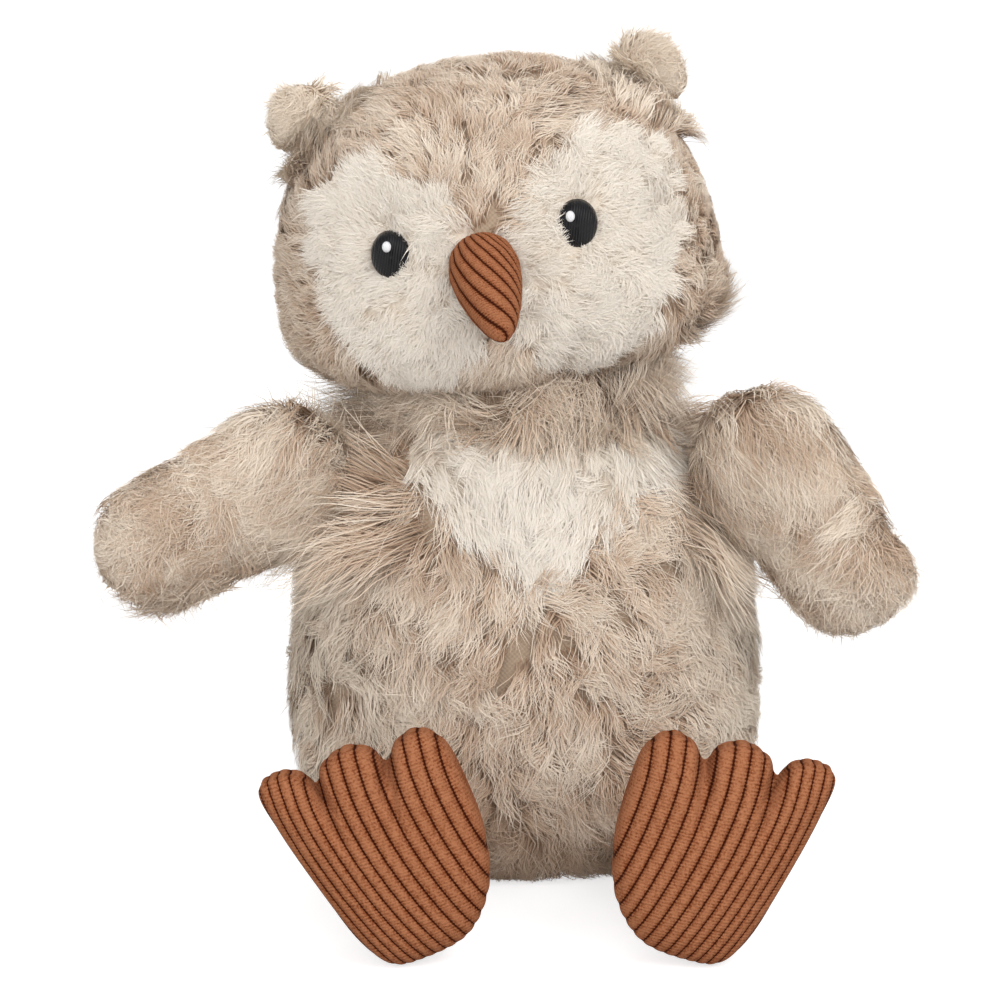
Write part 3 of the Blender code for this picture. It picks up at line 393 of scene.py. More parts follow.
def build_mesh(name, vertices, polygons, material, maps=None):
    """An object from points, lists of faces of equal size, and UV maps given corner by corner."""
    mesh = bpy.data.meshes.new(name)
    vertices = np.asarray(vertices, np.float32).reshape(-1, 3)
    polygons = [np.asarray(faces, np.int32) for faces in polygons if len(faces)]
    corners = np.concatenate([faces.ravel() for faces in polygons])
    totals = np.concatenate([np.full(len(faces), faces.shape[1], np.int32) for faces in polygons])
    starts = np.concatenate([[0], np.cumsum(totals)[:-1]]).astype(np.int32)
    mesh.vertices.add(len(vertices))
    mesh.vertices.foreach_set("co", vertices.ravel())
    mesh.loops.add(len(corners))
    mesh.loops.foreach_set("vertex_index", corners)
    mesh.polygons.add(len(totals))
    mesh.polygons.foreach_set("loop_start", starts)
    for map_name, coordinates in (maps or {}).items():
        layer = mesh.uv_layers.new(name=map_name)
        layer.uv.foreach_set("vector", np.asarray(coordinates, np.float32).ravel())
    mesh.update(calc_edges=True)
    mesh.shade_smooth()
    made = bpy.data.objects.new(name, mesh)
    bpy.context.scene.collection.objects.link(made)
    mesh.materials.append(material)
    return made


def mark_pale(piece, chosen):
    """Notes which points of a backing lie under cream fur."""
    points = np.empty(len(piece.data.vertices) * 3)
    piece.data.vertices.foreach_get("co", points)
    values = chosen(points.reshape(-1, 3)).astype(np.float32)
    piece.data.attributes.new("pale", "FLOAT", "POINT").data.foreach_set("value", values)


def grid_piece(name, rows, material, coordinates=None, ends=None):
    """A skin through closed rings, an array of rows by columns by 3. ends are the two points that close
    it. coordinates gives the cord map, with one column more than the rings, for the seam."""
    count, columns = rows.shape[:2]
    r, c = np.meshgrid(np.arange(count - 1), np.arange(columns), indexing="ij")
    r, c = r.ravel(), c.ravel()
    quads = np.stack([r * columns + c, r * columns + (c + 1) % columns,
                      (r + 1) * columns + (c + 1) % columns, (r + 1) * columns + c], axis=-1)
    vertices, triangles = rows.reshape(-1, 3), np.empty((0, 3), int)
    if ends is not None:
        vertices = np.concatenate([vertices, np.asarray(ends, float)])
        k = np.arange(columns)
        tip, last = count * columns, (count - 1) * columns
        triangles = np.concatenate([
            np.stack([(k + 1) % columns, k, np.full(columns, tip)], axis=-1),
            np.stack([last + k, last + (k + 1) % columns, np.full(columns, tip + 1)], axis=-1)])
    maps = None
    if coordinates is not None:
        at = [coordinates[r, c], coordinates[r, c + 1], coordinates[r + 1, c + 1], coordinates[r + 1, c]]
        cord = [np.stack(at, axis=1).reshape(-1, 2)]
        if ends is not None:
            first, final = coordinates[0], coordinates[-1]
            cord.append(np.stack([first[k + 1], first[k], first[k]], axis=1).reshape(-1, 2))
            cord.append(np.stack([final[k], final[k + 1], final[k]], axis=1).reshape(-1, 2))
        maps = {"cord": np.concatenate(cord)}
    made = build_mesh(name, vertices, [quads, triangles], material, maps)
    shape = bmesh.new()
    shape.from_mesh(made.data)
    bmesh.ops.recalc_face_normals(shape, faces=shape.faces)
    shape.to_mesh(made.data)
    shape.free()
    return made


class Form:
    """A stuffed shape seen from its middle: unit directions go in and points on its skin come out. Its
    sections across are superellipses of one power and its profile along z of another, one for each end,
    and it narrows towards +z by the taper share."""

    def __init__(self, place, middle, halves, ends, powers, section=2.0, taper=0.0, floor=None):
        self.place, self.middle = place, np.array(middle, float)
        self.halves, self.ends, self.powers = halves, ends, powers
        self.section, self.taper, self.floor = section, taper, floor

    def skin(self, ways, grow=0.0):
        """Each direction is stretched until the sum of its powers of reach is one, then tapered, moved
        to its place and kept above the floor."""
        x, y, z = np.moveaxis(np.asarray(ways, float), -1, 0)
        up = z > 0
        height = np.where(up, self.ends[0], self.ends[1]) + grow
        power = np.where(up, self.powers[0], self.powers[1])
        wide, deep = (half + grow for half in self.halves)
        across = (np.abs(x / wide) ** self.section + np.abs(y / deep) ** self.section) ** (1 / self.section)
        reach = (across**power + np.abs(z / height) ** power) ** (-1.0 / power)
        point = ways * reach[..., None]
        share = point[..., 2] / height
        narrow = 1.0 - self.taper * np.maximum(share, 0.0)
        point = point * np.stack([narrow, narrow, np.ones_like(narrow)], axis=-1)
        point = placed(point + self.middle, self.place)
        if self.floor is not None:
            point[..., 2] = np.maximum(point[..., 2], self.floor)
        return point

    def way(self, points):
        """The direction whose skin lies under each point: its place from the middle, with the taper
        undone."""
        local = placed(points, self.place.inverted()) - self.middle
        narrow = 1.0 - self.taper * np.maximum(local[..., 2] / self.ends[0], 0.0)
        return unit(local / np.stack([narrow, narrow, np.ones_like(narrow)], axis=-1))

    def frame(self, ways, grow=0.0, step=0.004):
        """Points, outward normals and the area that a unit of direction covers, from two small steps."""
        a, b = tangents(ways)
        point = self.skin(ways, grow)
        to_a = self.skin(unit(ways + step * a), grow) - self.skin(unit(ways - step * a), grow)
        to_b = self.skin(unit(ways + step * b), grow) - self.skin(unit(ways - step * b), grow)
        square = np.cross(to_a, to_b)
        return point, unit(square), np.linalg.norm(square, axis=-1) / (2 * step) ** 2

    def sow(self, count, rng, tries=24000):
        """Directions spread evenly over the skin: a golden spiral over the sphere, thinned by area."""
        k = np.arange(tries) + 0.5
        z = 1.0 - 2.0 * k / tries
        turn = k * math.pi * (3.0 - math.sqrt(5.0))
        ways = np.stack([np.sqrt(1 - z**2) * np.cos(turn), np.sqrt(1 - z**2) * np.sin(turn), z], axis=-1)
        area = np.cumsum(self.frame(ways)[2])
        picks = (np.arange(count) + rng.uniform(0.0, 1.0, count)) / count * area[-1]
        return ways[np.minimum(np.searchsorted(area, picks), tries - 1)]

    def hide(self, name, material, rings=40, columns=56, grow=-BACKING_DEPTH, raised=None):
        """The backing cloth: rings of latitude with a point at each pole. It stands higher by
        CREAM_RISE where raised holds, under the shorter and denser cream fur."""
        slope = np.linspace(-math.pi / 2, math.pi / 2, rings + 2)[1:-1, None]
        around = np.linspace(0.0, math.tau, columns, endpoint=False)[None, :]
        ways = np.stack([np.cos(slope) * np.cos(around), np.cos(slope) * np.sin(around),
                         np.sin(slope) + 0 * around], axis=-1)
        poles = self.skin(np.array([(0.0, 0.0, -1.0), (0.0, 0.0, 1.0)]), grow)
        rows = self.skin(ways, grow)
        if raised is not None:
            chosen = raised(rows.reshape(-1, 3)).reshape(rows.shape[:2])
            rows = self.skin(ways, grow + CREAM_RISE * chosen)
        return grid_piece(name, rows, material, ends=poles)


def drift(points, size, seed, waves=8):
    """Smooth random vectors over space: a sum of waves whose lengths are near the size given."""
    rng = np.random.default_rng(seed)
    ways = unit(rng.normal(size=(waves, 3))) * math.tau / (size * rng.uniform(0.7, 1.4, (waves, 1)))
    strength = rng.normal(size=(waves, 3)) / math.sqrt(waves / 2)
    return np.sin(points @ ways.T + rng.uniform(0, math.tau, waves)) @ strength


def behind(normal):
    """1 where a skin faces backwards, 0 elsewhere."""
    return (normal[..., 1] > 0.25) * 1.0


class Pile:
    """What one kind of fur is like. length, stand (how high it rises), lock (the radius of a lock's
    foot), depth (how deep its roots lie) and width (of a hair) are sizes. hairs is how many a lock has,
    and rows how many points a hair has. gather draws a lock's hairs together and scatter spreads them.
    swirl and jitter turn the comb, smoothly and lock by lock; curl and wave bend the hairs. pale is
    how light it is and patches how much that varies. hug is how far it follows the skin round."""

    def __init__(self, length, stand, lock, hairs, depth=BACKING_DEPTH, gather=0.75, scatter=0.14,
                 width=0.00022, pale=0.5, patches=0.16, swirl=0.5, jitter=0.35, curl=0.16, wave=0.0, rows=3,
                 hug=0.9):
        self.length, self.stand, self.lock, self.hairs, self.depth = length, stand, lock, hairs, depth
        self.gather, self.scatter, self.width, self.pale, self.patches = gather, scatter, width, pale, patches
        self.swirl, self.jitter, self.curl, self.wave, self.rows = swirl, jitter, curl, wave, rows
        self.hug = hug

    def hug_at(self, point):
        return self.hug(point) if callable(self.hug) else np.full(len(point), self.hug)

    def guard(self, share):
        """The long, pale and fine hairs that stand out of this pile, as a share of its hairs."""
        return Pile(self.length * GUARD_LENGTH_SHARE, self.stand, self.lock, max(1, int(self.hairs * share)),
                    self.depth, gather=0.35, scatter=0.18, width=self.width * GUARD_WIDTH_SHARE, pale=0.85,
                    swirl=self.swirl, jitter=self.jitter, curl=0.25,
                    hug=lambda point: GUARD_HUG_SHARE * self.hug_at(point))


def comb_fur(form, ways, pile, comb, rng, size=1.0, painted_light_and_shade=None):
    """Hairs in locks, and how pale each is. A lock starts at each way of the form and leans along the
    comb. Its hairs start in a disc round it and draw together towards its tip. Along s, from root to
    tip, a hair reaches length * s along the skin, and stand * (1 - (1 - s)^2) above it. It bends to one
    side by curl * s^2 and winds from side to side by wave * sin of a turn along it."""
    locks, hairs, rows = len(ways), pile.hairs, pile.rows
    point, normal, _ = form.frame(ways, -pile.depth)
    flow = unit(comb(point, normal)) + pile.swirl * (drift(point, 0.034, 5) + 0.7 * drift(point, 0.011, 6))
    flow = flow + pile.jitter * rng.normal(size=point.shape)
    flow = unit(flow - normal * np.sum(flow * normal, axis=-1, keepdims=True))
    side = np.cross(normal, flow)
    size = np.broadcast_to(size(point) if callable(size) else size, locks)
    length = (pile.length * size * rng.uniform(0.75, 1.2, locks))[:, None, None]
    stand = (pile.stand * size * rng.uniform(0.7, 1.2, locks))[:, None, None]
    curl = (pile.curl * rng.normal(size=locks))[:, None, None]
    gather = np.clip(pile.gather + 0.2 * rng.normal(size=locks), 0.1, 0.96)[:, None, None]

    coarse = 1.0 + BACK_COARSENESS * behind(normal)[:, None]
    radius = pile.lock * coarse * np.sqrt(rng.uniform(0, 1, (locks, hairs)))
    angle = rng.uniform(0, math.tau, (locks, hairs))
    spread = (radius / np.linalg.norm(point - placed(form.middle, form.place), axis=-1)[:, None])[..., None]
    a, b = (tangent[:, None] for tangent in tangents(ways))
    offset = spread * (np.cos(angle)[..., None] * a + np.sin(angle)[..., None] * b)
    roots, root_normal, _ = form.frame(unit(ways[:, None] + offset), -pile.depth)

    s = np.linspace(0.0, 1.0, rows)[None, None, :]
    share = rng.uniform(0.55, 1.1, (locks, hairs, 1)) * s
    turns, start = rng.uniform(5.0, 9.0, (locks, 1, 1)), rng.uniform(0, math.tau, (locks, 1, 1))
    winding = pile.wave * np.sin(share * turns + start)
    lay = (length * share * (0.75 + 0.25 * share))[..., None] * flow[:, None, None]
    rise = (stand * (1.0 - (1.0 - np.clip(share, 0, 1)) ** 2))[..., None]
    bend = (length * curl * share**2 + winding * share)[..., None] * side[:, None, None]
    draw = (gather * share**1.3)[..., None] * (point[:, None] - roots)[:, :, None]
    stray = rng.normal(size=(locks, hairs, 3)) * pile.scatter
    loose = (length * share**1.5)[..., None] * stray[:, :, None]
    path = (roots[:, :, None] + lay + bend + draw + loose).reshape(-1, 3)
    skin, out, _ = form.frame(form.way(path), -pile.depth)
    hug = np.broadcast_to(pile.hug_at(point)[:, None, None], share.shape).reshape(-1, 1)
    path = path + hug * (skin - path) + rise.reshape(-1, 1) * out
    path = path.reshape(-1, rows, 3)
    if form.floor is not None:
        path[..., 2] = np.maximum(path[..., 2], form.floor)

    width = pile.width * np.repeat(coarse, hairs, axis=0)[:, :, None]
    vertices = ribbons(path, root_normal.reshape(-1, 1, 3), width, rng)
    patch = pile.patches * (rng.normal(size=(locks, 1)) + drift(point, 0.012, 9)[:, :1])
    # Painted light and shade: an optional function of place that makes locks paler or darker
    if painted_light_and_shade is not None:
        patch = patch + painted_light_and_shade(point)[:, None]
    tone = np.clip(pile.pale + patch + 0.12 * rng.normal(size=(locks, hairs)), 0.02, 0.98).ravel()
    return vertices, tone


def ribbons(path, out, width, rng):
    """Flat strips along paths, each turned a little about its path, that narrow to a point."""
    along = unit(np.gradient(path, axis=1))
    across = unit(np.cross(along, out))
    face = np.cross(across, along)
    twist = rng.uniform(-0.4, 0.4, (len(path), 1, 1))
    across = across * np.cos(twist) + face * np.sin(twist)
    taper = np.interp(np.linspace(0.0, 1.0, path.shape[1]), (0.0, 0.35, 0.7, 1.0), (0.85, 1.0, 0.75, 0.0))
    half = width * rng.uniform(0.7, 1.25, (len(path), 1, 1)) / 2
    edge = across * half * taper[None, :, None]
    sides = np.stack([path - edge, path + edge], axis=2)[:, :-1]
    return np.concatenate([sides.reshape(len(path), -1, 3), path[:, -1:]], axis=1)


def fur_pieces(name, hairs, rows, material, body):
    """Writes ribbons as pieces, as many as their number needs. The map holds how pale each hair is, and
    how far along it a point lies."""
    vertices, tone = hairs
    points, steps = 2 * rows - 1, rows - 2
    quads = np.array([(2 * k, 2 * k + 1, 2 * k + 3, 2 * k + 2) for k in range(steps)])
    tip = np.array([(2 * steps, 2 * steps + 1, 2 * steps + 2)])
    height = np.repeat(np.linspace(0.0, 1.0, rows), 2)[:points]
    most = min(MOST_HAIRS, MOST_TRIANGLES // (2 * steps + 1))
    total = max(1, math.ceil(len(tone) / most))
    for k, chosen in enumerate(np.array_split(np.arange(len(tone)), total)):
        count, pale = len(chosen), tone[chosen]
        start = (np.arange(count) * points)[:, None, None]
        faces = [(start + corners[None]).reshape(-1, corners.shape[1]) for corners in (quads, tip)]
        maps = [np.stack([np.repeat(pale, corners.size), np.tile(height[corners.ravel()], count)], axis=-1)
                for corners in (quads, tip)]
        piece = build_mesh(f"{name}_{k + 1}", vertices[chosen], faces, material,
                           {"OFBake": np.concatenate(maps)})
        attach(piece, body)


def dress(name, form, body, count, pile, comb, rng, finish, keep=None, size=1.0, painted_light_and_shade=None, guard=0.2):
    """Fur over a form: locks of soft pile, and long pale guard hairs that stand out of them."""
    ways = form.sow(int(count * QUICK_SHARE), rng)
    point, normal, _ = form.frame(ways, -pile.depth)
    chosen = rng.uniform(size=len(ways)) < 1.0 - (1.0 - BACK_SHARE) * behind(normal)
    if keep is not None:
        chosen &= keep(point)
    ways = ways[chosen]
    for kind, coat in (("soft", pile), ("guard", pile.guard(guard))):
        hairs = comb_fur(form, ways, coat, comb, rng, size, painted_light_and_shade)
        fur_pieces(f"{name}_{kind}", hairs, coat.rows, finish, body)


def smooth_outline(shares, wide, high, count):
    """A closed Catmull-Rom curve through the shares, evenly sampled, in real sizes."""
    knots = np.array(shares) * (wide, high)
    before, after, beyond = np.roll(knots, 1, 0), np.roll(knots, -1, 0), np.roll(knots, -2, 0)
    place = np.linspace(0.0, len(knots), count, endpoint=False)
    index = place.astype(int)
    t = (place - index)[:, None]
    a, b, c, d = before[index], knots[index], after[index], beyond[index]
    return 0.5 * (2 * b + (c - a) * t + (2 * a - 5 * b + 4 * c - d) * t**2 + (3 * b - a - 3 * c + d) * t**3)


def inside_outline(points, outline):
    """Whether each point lies in a closed outline, by how often a line from it crosses the edge."""
    x, y = points[:, 0:1], points[:, 1:2]
    start, end = outline, np.roll(outline, -1, 0)
    crosses = (start[:, 1] > y) != (end[:, 1] > y)
    rise = np.where(np.abs(end[:, 1] - start[:, 1]) < 1e-12, 1e-12, end[:, 1] - start[:, 1])
    edge = start[:, 0] + (y - start[:, 1]) / rise * (end[:, 0] - start[:, 0])
    return np.sum(crosses & (x < edge), axis=1) % 2 > 0


def head_frame():
    lean = Matrix.Rotation(-HEAD_LEAN, 4, "Y")
    return Matrix.Translation(NECK_POINT) @ lean @ Matrix.Rotation(-HEAD_TURN, 4, "Z")


HEAD_FRAME = head_frame()
TORSO = Form(Matrix.Identity(4), TORSO_MIDDLE, (TORSO_HALF_WIDTH, TORSO_HALF_DEPTH),
             (TORSO_RISE, TORSO_DROP), TORSO_POWERS, taper=TORSO_TAPER_SHARE, floor=TORSO_FLOOR)
HEAD = Form(HEAD_FRAME, HEAD_MIDDLE, (HEAD_HALF_WIDTH, HEAD_HALF_DEPTH), (HEAD_RISE, HEAD_DROP), HEAD_POWERS)


def in_head(points):
    return placed(points, HEAD_FRAME.inverted())


def eye_places():
    """The middle of each eye, in the world, from the nodes' boxes."""
    return {side: np.array(sum(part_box(f"eye_{side}"), Vector()) / 2) for side in SIDES}


def torso_comb(point, normal):
    """Down the body, spreading to the sides from the middle of the front, and out over the shoulders."""
    x, y, z = np.moveaxis(point, -1, 0)
    shoulder = ramp(np.abs(x), SHOULDER_INSIDE, 0.040) * ramp(z, 0.088, 0.102)
    return np.stack([x * 9.0 + np.sign(x) * 1.6 * shoulder, 0 * y, -1.0 + 1.3 * shoulder], axis=-1)


def bib_comb(point, normal):
    """Down to the bib's tip, but out to the side at its wide corner."""
    x, y, z = np.moveaxis(point, -1, 0)
    tip = BIB_SIDEWAYS - x
    corner = ramp(x, 0.020, 0.032)
    drop = np.maximum(z - BIB_TIP_HEIGHT + 0.016, 0.008)
    return np.stack([tip / drop * (1.0 - corner) * 0.8 + 1.2 * corner, 0 * y, -1.0 + 0.5 * corner], axis=-1)


def head_comb(point, normal):
    """Away from the root of the beak over the crown and round the cheeks, then down the back."""
    root = placed(np.array(BEAK_ROOT), HEAD_FRAME)
    out = unit(point - root)
    back = np.clip((point[..., 1:2] - root[1]) / HEAD_HALF_DEPTH - 0.9, 0.0, 1.0)
    flow = out + back * np.array((0.0, 0.0, -1.6))
    for side in SIDES:
        near = bell(point, JOINTS[f"ear_{side}_flex"]["pos_m"], EAR_FUR_REACH)[..., None]
        flow = flow + 1.5 * near * np.array(HEAD_FRAME.col[2].to_3d())
    for eye in eye_places().values():
        away = unit(point - eye)
        near = bell(point, eye, EYE_COMB_REACH)[..., None]
        inner = np.array((np.sign(root[0] - eye[0]), 0.0, -0.4))
        over = np.clip(away @ inner, 0.0, 1.0)[..., None]
        flow = flow + 2.0 * near * away * (1.0 - 3.6 * over)
    return flow


def head_masks(point):
    """Which points lie on the pale face, and which are clear of the eyes, the beak and the neck."""
    local = in_head(point) + FACE_EDGE_DRIFT * drift(point, FACE_EDGE_WAVE, 12)
    face = np.zeros(len(point), bool)
    for side, sign in SIDES.items():
        x = local[:, 0] - HEAD_MIDDLE[0] - sign * LOBE_SPREADS[side]
        z = local[:, 2] - LOBE_HEIGHT
        lean = sign * LOBE_TILT
        across = x * math.cos(lean) - z * math.sin(lean)
        high = z * math.cos(lean) + x * math.sin(lean)
        face |= (across / LOBE_HALF_WIDTHS[side]) ** 2 + (high / LOBE_HALF_HEIGHT) ** 2 < 1.0
    face &= local[:, 1] < 0
    clear = ~((np.hypot(local[:, 0], local[:, 1]) < NECK_CLEAR) & (local[:, 2] < NECK_BAND))
    for eye in eye_places().values():
        place = point - eye
        clear &= (place[:, 0] / (EYE_HALF_WIDTH - EYE_MARGIN)) ** 2 + (
            place[:, 2] / (EYE_HALF_HEIGHT - EYE_MARGIN)) ** 2 + (place[:, 1] > 0.03) > 1.0
    beak_low, beak_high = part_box("beak_shell")
    middle = (beak_low + beak_high) / 2
    half = (beak_high - beak_low) / 2
    clear &= ((point[:, 0] - middle.x + 0.0012) / (half.x * 0.75)) ** 2 + (
        (point[:, 2] - middle.z) / (half.z * 0.85)) ** 2 + (point[:, 1] > 0) > 1.0
    return face, clear


def torso_masks(point):
    """Which points lie on the bib, and which are clear of the neck, the legs and the seat."""
    outline = smooth_outline(BIB_OUTLINE_SHARES, BIB_HALF_WIDTH, BIB_HEIGHT, 72)
    outline = outline + (BIB_SIDEWAYS, BIB_TIP_HEIGHT)
    bib = inside_outline(point[:, [0, 2]], outline) & (point[:, 1] < 0)
    clear = point[:, 2] > SEAT_CLEAR
    clear &= ~((np.hypot(point[:, 0], point[:, 1]) < NECK_CLEAR) & (point[:, 2] > TORSO_MIDDLE[2]))
    for side in SIDES:
        hip = np.array(JOINTS[f"leg_{side}_lift"]["pos_m"])
        clear &= np.linalg.norm(point - hip, axis=-1) > HIP_CLEAR
    return bib, clear


def build_torso(fur, cream, hide, rng):
    backing = TORSO.hide("torso_backing", hide, rings=60, columns=90)
    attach(backing, "torso")
    mark_pale(backing, lambda p: torso_masks(p)[0])
    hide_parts("torso_skin", "chest_bib", "seat_panel")

    def painted_light_and_shade(point):
        """Painted shade and light on the fur's tone: a little darker overall, browner near the ground where
        the belly faces down over the feet, and paler at the sides to lift the shade that the wings cast
        there.
        """
        side = np.clip(np.abs(point[:, 0]) / TORSO_HALF_WIDTH - 0.4, 0.0, 0.5)
        return 1.00 * side - 0.03 - 0.60 * np.clip((0.040 - point[:, 2]) / 0.028, 0.0, 1.0)

    coat = Pile(0.0114, 0.0035, 0.0029, 24, gather=0.80, width=0.00026, wave=0.0017, rows=5, hug=0.8)
    dress("torso_fur", TORSO, "torso", 3900, coat, torso_comb, rng, fur,
          keep=lambda p: torso_masks(p)[1] & ~torso_masks(p)[0], painted_light_and_shade=painted_light_and_shade)
    soft = Pile(0.0090, 0.0028, 0.0027, 50, gather=0.5, pale=0.72, patches=0.05, swirl=0.2, jitter=0.2,
                wave=0.0006, rows=4)
    dress("bib_fur", TORSO, "torso", 4300, soft, bib_comb, rng, cream,
          keep=lambda p: torso_masks(p)[1] & torso_masks(p)[0])
    build_shoulders(fur, rng)


def build_shoulders(fur, rng):
    """Long locks that stand out from the shoulders and lie over the roots of the wings."""
    def near(point):
        bib = torso_masks(point)[0]
        by_corner = (point[:, 0] > 0) & (point[:, 2] < BIB_CORNER_TOP)
        beside = np.where(by_corner, SHOULDER_BY_CORNER, SHOULDER_INSIDE)
        front = (point[:, 2] > SHOULDER_BOTTOM) & (point[:, 1] < SHOULDER_BACK)
        return (np.abs(point[:, 0]) > beside) & front & ~bib

    def comb(point, normal):
        return np.stack([np.sign(point[:, 0]), 0 * point[:, 0], -0.25 + 0 * point[:, 0]], axis=-1)

    def size(point):
        """Longest in front, beside the bib, and short at the top and behind."""
        inner = 1.0 - ramp(np.abs(point[:, 0]), 0.030, 0.050)
        return (0.90 + 0.25 * inner) * (1.0 - 0.25 * ramp(point[:, 1], -0.020, 0.0))

    coat = Pile(0.0225, 0.0130, 0.0036, 34, gather=0.70, width=0.00022, pale=0.60, swirl=0.25, jitter=0.3,
                wave=0.0026, rows=5, hug=0.0)
    dress("shoulder_fur", TORSO, "torso", 3000, coat, comb, rng, fur, keep=near,
          size=size)


def build_head(fur, cream, hide, rng):
    backing = HEAD.hide("head_backing", hide, rings=90, columns=140, raised=lambda p: head_masks(p)[0])
    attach(backing, "head")
    mark_pale(backing, lambda p: head_masks(p)[0])
    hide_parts("head_skin", "face_panel_left", "face_panel_right")
    ears = [np.array(JOINTS[f"ear_{side}_flex"]["pos_m"]) for side in SIDES]

    def size(point):
        """Longer round the ears, which grow out of the fur, and on one cheek, and shorter above it."""
        near = sum(bell(point, ear, EAR_FUR_REACH) for ear in ears)
        local = in_head(point)
        corner = ramp(local[:, 0], 0.018, 0.038) * ramp(local[:, 2], 0.006, 0.026)
        return 1.0 + 0.3 * near + 1.3 * jowl(point) - 0.55 * corner

    def jowl(point):
        return bell(point, JOWL, JOWL_REACH)

    def face_size(point):
        """Shorter round the eyes."""
        return 1.0 - 0.35 * by_eyes(point)

    def by_eyes(point):
        return sum(bell(point, eye, EYE_FUR_REACH) for eye in eye_places().values())

    coat = Pile(0.0070, 0.0026, 0.0024, 27, patches=0.12, width=0.00023, swirl=0.5, jitter=0.4, wave=0.0008,
                rows=4, hug=lambda p: 0.75 * (1.0 - jowl(p)))
    dress("head_fur", HEAD, "head", 4200, coat, head_comb, rng, fur,
          keep=lambda p: head_masks(p)[1] & ~head_masks(p)[0], size=size)
    soft = Pile(0.0042, 0.0025, 0.0027, 84, depth=0.0010, pale=0.72, gather=0.05, scatter=0.30, width=0.00018,
                patches=0.03, swirl=0.4, jitter=0.5, hug=lambda p: 0.9 - 0.7 * by_eyes(p))
    dress("face_fur", HEAD, "head", 4200, soft, head_comb, rng, cream,
          keep=lambda p: head_masks(p)[1] & head_masks(p)[0], size=face_size, guard=0.05)


def build_neck(fur, hide, rng):
    """A collar of fur round the neck, which fills the crease between the head and the torso."""
    form = Form(Matrix.Translation(NECK_POINT), (0.0, 0.0, 0.0), NECK_HALVES, NECK_ENDS, NECK_POWERS)
    backing = form.hide("neck_backing", hide, rings=16)
    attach(backing, "neck")
    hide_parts("neck_stuffing")
    coat = Pile(0.0140, 0.0070, 0.0028, 30, pale=0.72, wave=0.0014, rows=4, hug=0.0)

    def comb(point, normal):
        return unit(point - np.array(NECK_POINT)) * (1.0, 1.0, 0.0) + np.array((0.0, 0.0, -0.2))

    dress("neck_fur", form, "neck", 900, coat, comb, rng, fur,
          keep=lambda p: np.abs(p[:, 2] - NECK_POINT.z) < NECK_BAND)


class WingForm(Form):
    """The hull of two flattened balls, the root at its own origin and the tip along its z. The skin along
    a direction is found by halving: a point is inside while its depth in the hull is positive."""

    def depth(self, point):
        share = np.clip(point[..., 2] / WING_REACH, 0.0, 1.0)
        flatness = WING_ROOT_FLATNESS + (WING_TIP_FLATNESS - WING_ROOT_FLATNESS) * share
        across = np.hypot(point[..., 0], point[..., 1] / flatness)
        z = point[..., 2]
        slope = (WING_ROOT_RADIUS - WING_TIP_RADIUS) / WING_REACH
        run = math.sqrt(1.0 - slope**2)
        place = z * run - across * slope
        root = WING_ROOT_RADIUS - np.hypot(across, z)
        tip = WING_TIP_RADIUS - np.hypot(across, z - WING_REACH)
        side = WING_ROOT_RADIUS - across * run - z * slope
        return np.where(place < 0, root, np.where(place > run * WING_REACH, tip, side))

    def skin(self, ways, grow=0.0):
        low, high = np.zeros(ways.shape[:-1]), np.full(ways.shape[:-1], 0.06)
        for _ in range(22):
            middle = (low + high) / 2
            inside = self.depth(self.middle + ways * middle[..., None]) > 0
            low, high = np.where(inside, middle, low), np.where(inside, high, middle)
        return placed(self.middle + ways * (low + grow)[..., None], self.place)


def wing_form(side, sign):
    """The wing's long axis is its own z, out and down from the lift axis."""
    axis = Vector(JOINTS[f"wing_{side}_lift"]["pos_m"])
    yaw = Matrix.Rotation(-sign * WING_YAW, 4, "Z")
    point = Matrix.Rotation(sign * (math.pi / 2 + WING_DROOPS[side]), 4, "Y")
    place = Matrix.Translation(axis) @ yaw @ point
    return WingForm(place, (0.0, 0.0, WING_REACH / 2), (1, 1), (1, 1), (2, 2))


def build_wings(fur, hide, rng):
    for side, sign in SIDES.items():
        form = wing_form(side, sign)
        backing = form.hide(f"wing_{side}_backing", hide, rings=30, columns=36)
        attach(backing, f"wing_{side}")
        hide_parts(f"wing_{side}_skin", f"wing_{side}_stuffing")
        dress_wing(side, sign, form, fur, rng)


def dress_wing(side, sign, form, fur, rng):
    root = np.array(form.place.translation)
    outward = np.array(form.place.to_3x3() @ Vector((0.0, 0.0, 1.0)))

    def comb(point, normal):
        """To the tip and down, but forward on the part that faces the torso."""
        inner = np.clip(-(normal @ outward) * 2.0 - 1.0, 0.0, 1.0)[:, None]
        return (1.0 - inner) * (outward + (0.0, 0.0, -0.45)) + inner * np.array((0.0, -1.0, 0.1))

    def hug(point):
        """Looser at the root."""
        return 0.65 + 0.20 * ramp((point - root) @ outward, -0.012, 0.002)

    def size(point):
        """Longer along the fuller edge, shorter at the tip and at the shoulder's outer corner."""
        place = point - root
        far = place @ outward
        high = (place - far[:, None] * outward)[:, 2] * WING_FULL_EDGES[side]
        tip = ramp(far, WING_REACH, WING_REACH + WING_TIP_RADIUS)
        edge = ramp(high, 0.0, 0.014) * ramp(far, 0.010, 0.024) * (1.0 - tip)
        corner = ramp(place[:, 2], 0.004, 0.014) * ramp(sign * place[:, 0], 0.0, 0.010)
        return 1.0 - 0.55 * tip + 0.8 * edge - 0.55 * corner * (1.0 - ramp(far, 0.0, 0.020))

    coat = Pile(0.0118, 0.0031, 0.0036, 30, gather=0.90, pale=0.48, patches=0.30, width=0.00024,
                wave=0.0020, rows=5, hug=hug)
    dress(f"wing_{side}_fur", form, f"wing_{side}", 820, coat, comb, rng, fur, size=size)


